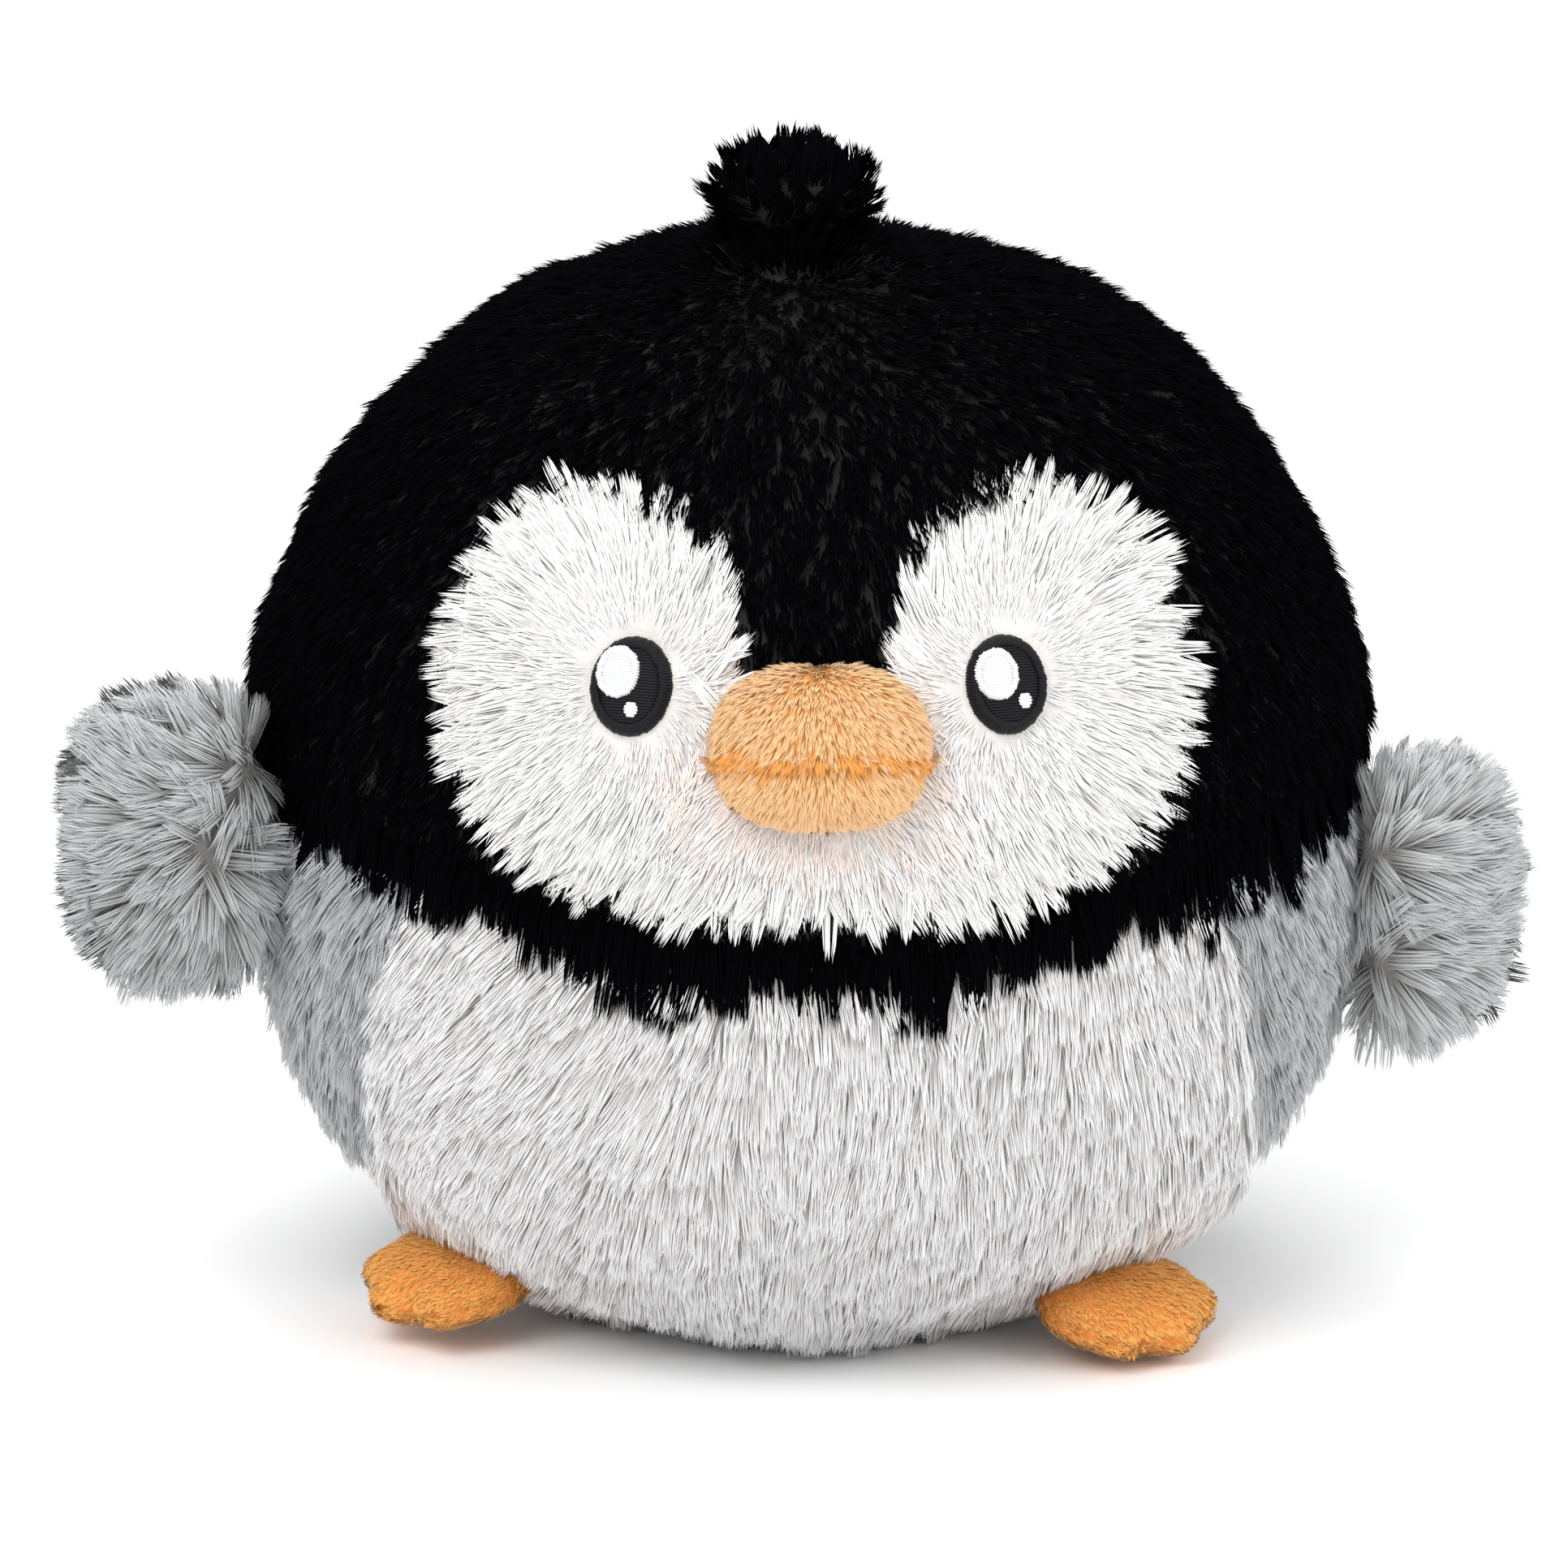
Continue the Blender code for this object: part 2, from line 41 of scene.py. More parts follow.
# Body, as in the CAD: a full egg cut flat underneath. Heights called "above" are from its centre.
TOP_ABOVE = 86 * MM
BOTTOM_BELOW = 83 * MM
TOP_FULLNESS = 2.15
BOTTOM_FULLNESS = 2.5
SKIN_INSET = 0.3 * MM
HOOD_SEAM_SIDE = ((-100, -12), (-80, -6.5), (-72, -3), (-64, 1.5), (-50, 4), (-30, 6.5), (0, 8), (100, 8))
HOOD_SIDE_SEAM_Y = 6 * MM
FACE_SEAM_HALF = (
    (0, 31), (11.5, 33), (14.5, 44), (20, 51.5), (32.5, 55.5), (44, 50), (50.5, 36),
    (49.5, 21), (44, 12.5), (35, 7), (20, 4), (0, 3.5),
)
BELLY_SEAM_SIDE = (
    (-100, 40), (-60, 4), (-54, -8), (-49, -21), (-42, -35), (-27, -50), (0, -61), (30, -69), (47, -97),
)
FLOOR_CLEAR = 0.25 * MM
SKIN_CLEAR = FLOOR_CLEAR + 1 * MM
EYE_OUT = 27.4 * MM
EYE_ABOVE = 33.2 * MM
BEAK_ABOVE = 24 * MM

SIDES = (("right", -1), ("left", 1))


# ---------------- frame

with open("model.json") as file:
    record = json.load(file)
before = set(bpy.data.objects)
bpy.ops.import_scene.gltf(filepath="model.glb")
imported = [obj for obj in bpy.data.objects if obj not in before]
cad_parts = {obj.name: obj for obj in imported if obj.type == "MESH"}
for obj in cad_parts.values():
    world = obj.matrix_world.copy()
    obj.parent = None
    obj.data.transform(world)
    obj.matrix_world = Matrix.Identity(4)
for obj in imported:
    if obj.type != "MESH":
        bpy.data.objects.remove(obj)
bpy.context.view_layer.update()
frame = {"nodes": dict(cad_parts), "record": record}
rng = np.random.default_rng(SEED)

HALF_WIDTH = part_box("hood_front")[1].x
HALF_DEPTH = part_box("hood_back_left")[1].y
CENTRE_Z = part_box("hood_front")[1].z - TOP_ABOVE


# ---------------- small maths on arrays

def unit(v):
    return v / np.maximum(np.linalg.norm(v, axis=-1, keepdims=True), 1e-12)


def smooth_step(x, low, high):
    t = np.clip((x - low) / (high - low), 0, 1)
    return t * t * (3 - 2 * t)


# Size of the features of each ripple, and its seed
RIPPLES = {
    "large_lumps": (46 * MM, 3),
    "small_lumps": (21 * MM, 4),
    "fringe_blocks": (7 * MM, 11),
    "fringe_lean": (9 * MM, 12),
    "belly_sway": (30 * MM, 21),
    "belly_length": (12 * MM, 22),
    "back_sway": (26 * MM, 23),
    "wing_swirl": (17 * MM, 31),
}


def ripple(p, use, waves=7):
    """Smooth seeded noise between about -1 and 1."""
    scale, seed = RIPPLES[use]
    made = np.random.default_rng(seed)
    ways = unit(made.normal(size=(waves, 3))) * (math.tau / scale) * made.uniform(0.6, 1.5, (waves, 1))
    shifts = made.uniform(0, math.tau, waves)
    return np.sin(p @ ways.T + shifts).sum(axis=1) / math.sqrt(waves) * 0.9


def tangent(way, normal):
    return unit(way - (way * normal).sum(axis=1, keepdims=True) * normal)


def outline_distance(x, z, outline):
    """How far each point is from a closed outline, in its plane: positive inside, negative outside."""
    best = np.full(len(x), 1e9)
    inside = np.zeros(len(x), bool)
    for (ax, az), (bx, bz) in zip(outline, np.roll(outline, -1, axis=0)):
        ex, ez = bx - ax, bz - az
        t = np.clip(((x - ax) * ex + (z - az) * ez) / (ex * ex + ez * ez + 1e-18), 0, 1)
        best = np.minimum(best, np.hypot(x - ax - t * ex, z - az - t * ez))
        crosses = (az > z) != (bz > z)
        inside ^= crosses & (x < ax + (z - az) * ex / np.where(ez == 0, 1e-12, ez))
    return np.where(inside, best, -best)


def smooth_outline(points, steps=6):
    """A closed Catmull-Rom curve through the points."""
    a, b, c, d = (np.roll(points, k, axis=0) for k in (1, 0, -1, -2))
    t = (np.arange(steps) / steps)[None, :, None]
    a, b, c, d = (v[:, None, :] for v in (a, b, c, d))
    curve = 0.5 * (2 * b + (c - a) * t + (2 * a - 5 * b + 4 * c - d) * t**2 + (3 * b - a - 3 * c + d) * t**3)
    return curve.reshape(-1, 2)


half = np.array(FACE_SEAM_HALF) * MM
FACE_OUTLINE = smooth_outline(np.concatenate([half, half[-2:0:-1] * (-1, 1)]))


# ---------------- body surface

def egg_point(around, up):
    """Points of the skin. around is the angle from +X; up runs from 1 at the crown to -1 at the base rim."""
    lowest = BOTTOM_BELOW - SKIN_INSET
    floor = CENTRE_Z - SKIN_CLEAR
    last = math.asin((floor / lowest) ** (BOTTOM_FULLNESS / 2))
    angle = np.where(up >= 0, up * math.pi / 2, up * last)
    power = np.where(up >= 0, 2 / TOP_FULLNESS, 2 / BOTTOM_FULLNESS)
    height = np.where(up >= 0, TOP_ABOVE - SKIN_INSET, lowest)
    ring = np.maximum(np.cos(angle), 0) ** power
    above = np.sign(angle) * height * np.abs(np.sin(angle)) ** power
    x = (HALF_WIDTH - SKIN_INSET) * ring * np.cos(around)
    y = (HALF_DEPTH - SKIN_INSET) * ring * np.sin(around)
    return np.stack(np.broadcast_arrays(x, y, CENTRE_Z + above), axis=-1)


def over_seam(p, seam):
    """How far each point is over a seam that is drawn from the side."""
    ys, zs = np.array(seam).T * MM
    return p[:, 2] - CENTRE_Z - np.interp(p[:, 1], ys, zs)


def over_hood_seam(p):
    return over_seam(p, HOOD_SEAM_SIDE)


def over_belly_seam(p):
    return over_seam(p, BELLY_SEAM_SIDE)


# How many places are tried for each one wanted, and the least gap as a share of the spacing
CANDIDATES = 3
CLOSEST = 0.72


class Surface:
    """A triangle surface with smooth normals, to scatter pile on."""

    def __init__(self, points, faces):
        self.points = points
        self.faces = faces
        a, b, c = (points[faces[:, i]] for i in range(3))
        cross = np.cross(b - a, c - a)
        self.areas = np.linalg.norm(cross, axis=1) / 2
        normals = np.zeros_like(points)
        for i in range(3):
            np.add.at(normals, faces[:, i], cross)
        self.normals = unit(normals)
        self.centres = (a + b + c) / 3

    def scatter(self, spacing, weight=None):
        """Even but irregular places about this far apart, wider where the weight is under 1."""
        share = np.ones(len(self.areas)) if weight is None else weight
        total = np.cumsum(self.areas * share)
        count = int(total[-1] / spacing**2 * CANDIDATES)
        picks = (np.arange(count) + rng.random(count)) / count * total[-1]
        index = rng.permutation(np.minimum(np.searchsorted(total, picks), len(total) - 1))
        u, v = rng.random(count), rng.random(count)
        fold = u + v > 1
        u, v = np.where(fold, 1 - u, u), np.where(fold, 1 - v, v)
        weights = np.stack([1 - u - v, u, v], axis=1)[:, :, None]
        corners = self.faces[index]
        place = (self.points[corners] * weights).sum(axis=1)
        normal = unit((self.normals[corners] * weights).sum(axis=1))
        kept = spread_out(place, CLOSEST * spacing / np.sqrt(share[index]))
        return place[kept], normal[kept]


def spread_out(places, gaps):
    """Which places are left when each one kept clears those near it."""
    tree = KDTree(len(places))
    for i, place in enumerate(places):
        tree.insert(place, i)
    tree.balance()
    free = np.ones(len(places), bool)
    kept = []
    for i, place in enumerate(places):
        if free[i]:
            kept.append(i)
            for _, near, _ in tree.find_range(place, gaps[i]):
                free[near] = False
    return np.array(kept)


def grid_faces(rows, columns):
    """Triangles of a grid that closes on itself along its columns."""
    i = np.arange(rows - 1)[:, None] * columns
    j = np.arange(columns)[None, :]
    k = (j + 1) % columns
    a, b, c, d = (v.ravel() for v in (i + j, i + k, i + columns + k, i + columns + j))
    return np.concatenate([np.stack([a, c, b], 1), np.stack([a, d, c], 1)])


BELLY_SEAM_SLANT = 0.75


def seam_distance(p):
    """How far each point of the body is from the nearest seam, roughly."""
    above = p[:, 2] - CENTRE_Z
    hood = np.abs(over_hood_seam(p))
    face = np.where(p[:, 1] < 0, np.abs(outline_distance(p[:, 0], above, FACE_OUTLINE)), 1)
    side = np.where(over_hood_seam(p) < 0, np.abs(over_belly_seam(p)) * BELLY_SEAM_SLANT, 1)
    middle = np.where((p[:, 1] > 0) & ~in_belly(p), np.abs(p[:, 0]), 1)
    crown = np.where(over_hood_seam(p) > 0, np.abs(p[:, 1] - HOOD_SIDE_SEAM_Y), 1)
    return np.minimum.reduce([hood, face, side, middle, crown])


def in_face(p):
    above = p[:, 2] - CENTRE_Z
    return (p[:, 1] < 0) & (outline_distance(p[:, 0], above, FACE_OUTLINE) > 0)


def in_hood(p):
    return (over_hood_seam(p) > 0) & ~in_face(p)


def in_belly(p):
    return (over_hood_seam(p) <= 0) & (over_belly_seam(p) < 0)


def in_back(p):
    return (over_hood_seam(p) <= 0) & (over_belly_seam(p) >= 0)


SKIN_ROWS, SKIN_COLUMNS = 150, 240
LARGE_LUMP = 0.7 * MM
SMALL_LUMP = 0.25 * MM
CREASE_DEPTH = 1.3 * MM
CREASE_HALF = 2.6 * MM


def make_body_surface():
    up = np.linspace(1, -1, SKIN_ROWS)[:, None]
    around = (np.arange(SKIN_COLUMNS) / SKIN_COLUMNS * math.tau)[None, :]
    points = egg_point(around, up).reshape(-1, 3)
    faces = grid_faces(SKIN_ROWS, SKIN_COLUMNS)
    plain = Surface(points, faces)
    lumps = ripple(points, "large_lumps") * LARGE_LUMP + ripple(points, "small_lumps") * SMALL_LUMP
    crease = -CREASE_DEPTH * np.exp(-((seam_distance(points) / CREASE_HALF) ** 2))
    moved = points + plain.normals * (lumps + crease)[:, None]
    moved[:, 2] = np.maximum(moved[:, 2], SKIN_CLEAR)
    return Surface(moved, faces)


# ---------------- materials

def nodes_of(name):
    made = bpy.data.materials.new(name)
    made.use_nodes = True
    tree = made.node_tree
    return made, tree, tree.nodes["Principled BSDF"]


def ramp(tree, stops):
    node = tree.nodes.new("ShaderNodeValToRGB")
    elements = node.color_ramp.elements
    elements[0].position, elements[0].color = stops[0][0], (*stops[0][1], 1)
    elements[1].position, elements[1].color = stops[-1][0], (*stops[-1][1], 1)
    for place, colour in stops[1:-1]:
        elements.new(place).color = (*colour, 1)
    return node


# Strands toned above the first take the picked colour: painted glints on the black pile, painted shade in the
# beak crease and a real tint round the beak. The second is the most that a plain strand has
TINT_AND_PAINTED_LIGHT_TONE = 0.9
PLAIN_TONE = 0.86
PILE_MAP = "OFBake"


def pile_material(
    name, stops, tone, roughness=0.75, sheen=0.15, specular=0.2, tint_and_painted_light=None, tint_and_painted_light_from=0.0, through=0.4
):
    """Strands whose colour runs from root to tip, each a little lighter or darker than the next.

    The few with the highest tone take the colour tint_and_painted_light instead, from this far along:
    painted glints at the tips of the black pile, painted shade in the crease of the beak, and a real
    tint round the beak. through is how much of the light passes under the surface of a strand.
    """
    made, tree, shader = nodes_of(name)
    links = tree.links
    own_map = tree.nodes.new("ShaderNodeUVMap")
    own_map.uv_map = PILE_MAP
    parts = tree.nodes.new("ShaderNodeSeparateXYZ")
    links.new(own_map.outputs["UV"], parts.inputs["Vector"])
    colour = ramp(tree, stops)
    links.new(parts.outputs["Y"], colour.inputs["Fac"])
    spread = tree.nodes.new("ShaderNodeMapRange")
    spread.inputs["To Min"].default_value = 1 - tone
    spread.inputs["To Max"].default_value = 1 + tone
    links.new(parts.outputs["X"], spread.inputs["Value"])
    shade = tree.nodes.new("ShaderNodeHueSaturation")
    links.new(colour.outputs["Color"], shade.inputs["Color"])
    links.new(spread.outputs["Result"], shade.inputs["Value"])
    result = shade.outputs["Color"]
    if tint_and_painted_light:
        picked = tree.nodes.new("ShaderNodeMapRange")
        picked.inputs["From Min"].default_value = TINT_AND_PAINTED_LIGHT_TONE
        picked.inputs["From Max"].default_value = TINT_AND_PAINTED_LIGHT_TONE + 0.02
        links.new(parts.outputs["X"], picked.inputs["Value"])
        outer = tree.nodes.new("ShaderNodeMapRange")
        outer.inputs["From Min"].default_value = tint_and_painted_light_from - 0.01
        outer.inputs["From Max"].default_value = tint_and_painted_light_from + 0.2
        links.new(parts.outputs["Y"], outer.inputs["Value"])
        both = tree.nodes.new("ShaderNodeMath")
        both.operation = "MULTIPLY"
        links.new(picked.outputs["Result"], both.inputs[0])
        links.new(outer.outputs["Result"], both.inputs[1])
        mix = tree.nodes.new("ShaderNodeMix")
        mix.data_type = "RGBA"
        links.new(both.outputs["Value"], mix.inputs["Factor"])
        links.new(result, mix.inputs["A"])
        mix.inputs["B"].default_value = (*tint_and_painted_light, 1)
        result = mix.outputs["Result"]
    links.new(result, shader.inputs["Base Color"])
    shader.inputs["Roughness"].default_value = roughness
    shader.inputs["Sheen Weight"].default_value = sheen
    shader.inputs["Sheen Roughness"].default_value = 0.4
    shader.inputs["Specular IOR Level"].default_value = specular
    shader.inputs["Subsurface Weight"].default_value = through
    shader.inputs["Subsurface Radius"].default_value = (1, 1, 1)
    shader.inputs["Subsurface Scale"].default_value = 0.6 * MM
    return made


def backing_material(name, colour):
    """The knitted backing under the pile: fine loops with a little colour variation."""
    made, tree, shader = nodes_of(name)
    links = tree.links
    place = tree.nodes.new("ShaderNodeTexCoord")
    loops = tree.nodes.new("ShaderNodeTexVoronoi")
    loops.inputs["Scale"].default_value = 1300
    links.new(place.outputs["Object"], loops.inputs["Vector"])
    patches = tree.nodes.new("ShaderNodeTexNoise")
    patches.inputs["Scale"].default_value = 140
    links.new(place.outputs["Object"], patches.inputs["Vector"])
    shades = ramp(tree, ((0.3, tuple(c * 0.75 for c in colour)), (0.7, colour)))
    links.new(patches.outputs["Fac"], shades.inputs["Fac"])
    links.new(shades.outputs["Color"], shader.inputs["Base Color"])
    bump = tree.nodes.new("ShaderNodeBump")
    bump.inputs["Strength"].default_value = 0.6
    bump.inputs["Distance"].default_value = 0.15 * MM
    links.new(loops.outputs["Distance"], bump.inputs["Height"])
    links.new(bump.outputs["Normal"], shader.inputs["Normal"])
    rough = tree.nodes.new("ShaderNodeMapRange")
    rough.inputs["To Min"].default_value = 0.75
    rough.inputs["To Max"].default_value = 0.95
    links.new(patches.outputs["Fac"], rough.inputs["Value"])
    links.new(rough.outputs["Result"], shader.inputs["Roughness"])
    return made


def thread_material(name, colour, dark):
    """Matt embroidery thread with a fine twist."""
    made, tree, shader = nodes_of(name)
    links = tree.links
    place = tree.nodes.new("ShaderNodeTexCoord")
    twist = tree.nodes.new("ShaderNodeTexWave")
    twist.inputs["Scale"].default_value = 900
    twist.inputs["Distortion"].default_value = 3
    links.new(place.outputs["Object"], twist.inputs["Vector"])
    shades = ramp(tree, ((0.0, dark), (0.8, colour)))
    links.new(twist.outputs["Fac"], shades.inputs["Fac"])
    links.new(shades.outputs["Color"], shader.inputs["Base Color"])
    shader.inputs["Roughness"].default_value = 0.5
    shader.inputs["Specular IOR Level"].default_value = 0.15
    return made


# ---------------- pieces

def add_piece(name, mesh, body, mat):
    obj = bpy.data.objects.new(name, mesh)
    bpy.context.scene.collection.objects.link(obj)
    mesh.materials.clear()
    mesh.materials.append(mat)
    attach(obj, body)
    return obj


def mesh_of(name, points, faces, smooth=True):
    mesh = bpy.data.meshes.new(name)
    mesh.vertices.add(len(points))
    mesh.vertices.foreach_set("co", points.astype(np.float32).ravel())
    sides = faces.shape[1]
    mesh.loops.add(len(faces) * sides)
    mesh.loops.foreach_set("vertex_index", faces.astype(np.int32).ravel())
    mesh.polygons.add(len(faces))
    mesh.polygons.foreach_set("loop_start", np.arange(0, len(faces) * sides, sides, dtype=np.int32))
    mesh.polygons.foreach_set("use_smooth", np.full(len(faces), smooth))
    mesh.update(calc_edges=True)
    return mesh


WELD = 0.001 * MM
STRAND_FLATNESS = 0.6
STRAND_ROUNDNESS = 0.18
UV_HALF = 0.01


def weld(mesh):
    """Joins points that share a place, and turns every face outwards."""
    bm = bmesh.new()
    bm.from_mesh(mesh)
    bmesh.ops.remove_doubles(bm, verts=bm.verts, dist=WELD)
    bmesh.ops.recalc_face_normals(bm, faces=bm.faces)
    bm.to_mesh(mesh)
    bm.free()


def strand_mesh(name, lines, widths, side, up, skin_normal, run, tone):
    """Closed three-sided strands that taper to a point. lines is (strand, ring, xyz), ending at the tip.

    Each point holds how far along its strand it is, and the strand's own tone, as one UV map: the colour
    is read from that map alone, so that a baked picture of it stays exact however small it is.
    """
    count, rings = lines.shape[0], lines.shape[1]
    body_rings = rings - 1
    corners = [(math.cos(a), math.sin(a)) for a in (math.radians(90), math.radians(210), math.radians(330))]
    ring_ways = np.stack([side * c + up * s * STRAND_FLATNESS for c, s in corners], axis=1)
    tubes = lines[:, :body_rings, None, :] + widths[:, :body_rings, None, None] / 2 * ring_ways[:, None, :, :]
    points = np.concatenate([tubes.reshape(count, body_rings * 3, 3), lines[:, -1:, :]], axis=1)
    each = body_rings * 3 + 1
    one = []
    for r in range(body_rings - 1):
        for c in range(3):
            a, b = r * 3 + c, r * 3 + (c + 1) % 3
            one += [(a, b, b + 3), (a, b + 3, a + 3)]
    last = (body_rings - 1) * 3
    one += [(last + c, last + (c + 1) % 3, each - 1) for c in range(3)]
    one.append((2, 1, 0))
    one = np.array(one)
    faces = (one[None] + (np.arange(count) * each)[:, None, None]).reshape(-1, 3)
    mesh = mesh_of(name, points.reshape(-1, 3), faces)
    corner_shift = np.append(np.tile((-UV_HALF, 0, UV_HALF), body_rings), 0)
    across = np.clip(tone[:, None] * (1 - 2 * UV_HALF) + UV_HALF + corner_shift, 0, 1)
    along = np.broadcast_to(np.append(np.repeat(run[:-1], 3), run[-1]), across.shape)
    map_points = np.stack([across, along], axis=-1).reshape(-1, 2)
    layer = mesh.uv_layers.new(name=PILE_MAP)
    layer.data.foreach_set("uv", map_points[faces.ravel()].astype(np.float32).ravel())
    outward = np.concatenate([np.tile(ring_ways, (1, body_rings, 1)), np.zeros((count, 1, 3))], axis=1)
    soft = unit(outward * STRAND_ROUNDNESS + skin_normal[:, None, :])
    mesh.normals_split_custom_set_from_vertices(soft.reshape(-1, 3))
    return mesh


ROOT_SUNK = 0.4 * MM


def pile(place, normal, comb, style, length=None, lift=0):
    """Strands in locks rooted at these places. comb is the way each lock lies; style holds sizes in mm.

    lift is how many degrees more than usual each lock stands up.
    """
    count = len(place)
    each = style["strands"]
    length = np.full(count, style["length"] * MM) if length is None else length
    length = length * (1 + style["uneven_locks"] * rng.normal(size=count)).clip(0.5, 1.6)
    turn = rng.normal(size=count) * math.radians(style["messy"])
    across = np.cross(normal, comb)
    comb = comb * np.cos(turn)[:, None] + across * np.sin(turn)[:, None]
    across = np.cross(normal, comb)
    steps = np.array(style["steps"])
    tilt = np.radians(rng.normal(size=count) * style["uneven_lift"] + lift)
    spine = np.zeros((count, len(steps), 3))
    for k in range(1, len(steps)):
        middle = (steps[k] + steps[k - 1]) / 2
        angle = np.radians(style["root_lift"] + (style["tip_lift"] - style["root_lift"]) * middle**0.6) + tilt
        way = comb * np.cos(angle)[:, None] + normal * np.sin(angle)[:, None]
        spine[:, k] = spine[:, k - 1] + way * (length * (steps[k] - steps[k - 1]))[:, None]
    u = rng.uniform(-1, 1, (count, each, 1, 1)) * style["half_width"] * MM
    v = rng.uniform(-1, 1, (count, each, 1, 1)) * style["run"] * MM
    w = rng.random((count, each, 1, 1)) * style["depth"] * MM
    closing = (1 - style["gather"] * steps**1.5)[None, None, :, None]
    own = 1 + rng.uniform(-1, 1, (count, each, 1, 1)) * style["uneven_tips"]
    stray = rng.normal(size=(count, each, 1, 3)) * style["fray"] * MM * (steps**2)[:, None]
    lines = (
        place[:, None, None, :]
        + spine[:, None] * own
        + across[:, None, None, :] * u * closing
        + comb[:, None, None, :] * v
        + normal[:, None, None, :] * (w * steps[:, None] - ROOT_SUNK)
        + stray
    ).reshape(-1, len(steps), 3)
    total = count * each
    roll = rng.normal(size=(total, 1)) * 0.4
    side0 = np.repeat(across, each, axis=0)
    normal0 = np.repeat(normal, each, axis=0)
    side = unit(side0 * np.cos(roll) + normal0 * np.sin(roll))
    up = unit(normal0 * np.cos(roll) - side0 * np.sin(roll))
    width = style["width"] * MM * (1 + 0.22 * rng.normal(size=total)).clip(0.5, 1.6)
    shape = np.interp(steps, (0, 0.3, 0.8, 1), (0.7, 1.0, 0.85, 0))
    lock_tone = np.repeat(rng.normal(size=count), each) * 0.13
    tone = np.clip(0.5 + lock_tone + 0.12 * rng.normal(size=total), 0, 1)
    return {
        "lines": lines, "widths": width[:, None] * shape[None], "side": side, "up": up,
        "skin_normal": normal0, "tone": tone, "run": steps,
    }


def keep_off_floor(strands):
    low = FLOOR_CLEAR * (1 + rng.random(len(strands["lines"])))
    strands["lines"][:, :, 2] = np.maximum(strands["lines"][:, :, 2], low[:, None])
    return strands


MOST_FACES = 190_000


def add_pile(name, strands, body, mat):
    """Adds the strands as one piece, or as several when there are too many faces for one."""
    faces_each = 6 * (strands["lines"].shape[1] - 2) + 4
    count = len(strands["lines"])
    parts = math.ceil(count * faces_each / MOST_FACES)
    order = np.argsort(strands["lines"][:, 0, 0], kind="stable")
    for i, chosen in enumerate(np.array_split(order, parts)):
        label = name if parts == 1 else f"{name}_{i + 1}"
        picked = {key: value if key == "run" else value[chosen] for key, value in strands.items()}
        mesh = strand_mesh(label, **picked)
        add_piece(label, mesh, body, mat)


# ---------------- pile of the body

def shade(*values):
    """A linear colour from its 0 to 255 display values."""
    return tuple(((v / 255 + 0.055) / 1.055) ** 2.4 if v > 10 else v / 255 / 12.92 for v in values)


BLACK_STOPS = ((0.0, (0.0005, 0.0005, 0.0007)), (1.0, (0.0016, 0.0016, 0.0024)))
WHITE_STOPS = ((0.0, shade(228, 223, 219)), (0.45, shade(240, 238, 236)), (1.0, shade(250, 249, 248)))
BELLY_STOPS = ((0.0, shade(190, 184, 179)), (0.4, shade(216, 212, 209)), (0.75, shade(240, 239, 239)),
               (1.0, shade(246, 246, 247)))
BACK_STOPS = ((0.0, shade(124, 122, 121)), (0.4, shade(158, 159, 161)), (0.75, shade(192, 195, 199)),
              (1.0, shade(204, 207, 211)))
SILVER_STOPS = ((0.0, shade(136, 134, 131)), (0.4, shade(166, 167, 167)), (0.75, shade(198, 200, 201)),
                (1.0, shade(214, 217, 219)))
ORANGE_STOPS = ((0.0, shade(242, 148, 62)), (0.5, shade(250, 168, 82)), (1.0, shade(255, 190, 108)))
PEACH_STOPS = ((0.0, shade(236, 156, 80)), (0.5, shade(243, 186, 126)), (1.0, shade(247, 206, 160)))

# In mm and degrees. Locks stand "spacing" apart; each is twice half_width across at the root, closes up
# by gather towards its tip, and stands up from the skin by root_lift there and tip_lift at its tip.
FINE = {"run": 0.9, "depth": 0.4, "uneven_locks": 0.10, "uneven_tips": 0.06, "uneven_lift": 3, "fray": 0.10}
HOOD = FINE | {
    "spacing": 1.5, "strands": 7, "length": 5.4, "root_lift": 44, "tip_lift": 12, "half_width": 0.9,
    "width": 0.36, "gather": 0.3, "messy": 14, "steps": (0, 0.6, 1), "uneven_lift": 5,
}
FRINGE = FINE | {
    "spacing": 2.1, "strands": 22, "length": 10.4, "root_lift": 32, "tip_lift": 8, "half_width": 1.65,
    "width": 0.38, "gather": 0.1, "messy": 5, "steps": (0, 0.35, 0.85, 1), "depth": 0.8,
    "uneven_tips": 0.03,
}
FACE = FINE | {
    "spacing": 1.6, "strands": 15, "length": 8.0, "root_lift": 26, "tip_lift": 8, "half_width": 1.3,
    "width": 0.25, "gather": 0.2, "messy": 8, "steps": (0, 0.82, 1),
}
FACE_RIM = FACE | {
    "strands": 20, "length": 7.4, "root_lift": 34, "tip_lift": 10, "gather": 0.5, "messy": 14,
    "depth": 0.9, "uneven_locks": 0.1, "steps": (0, 0.35, 0.82, 1),
}
BELLY = FINE | {
    "spacing": 2.05, "strands": 17, "length": 9.6, "root_lift": 18, "tip_lift": 3, "half_width": 1.6,
    "width": 0.29, "gather": 0.12, "messy": 6, "steps": (0, 0.88, 1),
}
BACK = BELLY | {
    "spacing": 2.2, "width": 0.28, "messy": 9, "strands": 18, "root_lift": 20,
}
WING = FINE | {
    "spacing": 1.85, "strands": 22, "length": 10.0, "root_lift": 40, "tip_lift": 8, "half_width": 1.6,
    "width": 0.27, "gather": 0.15, "messy": 13, "steps": (0, 0.3, 0.85, 1), "uneven_locks": 0.05,
    "uneven_tips": 0.04, "depth": 0.8,
}
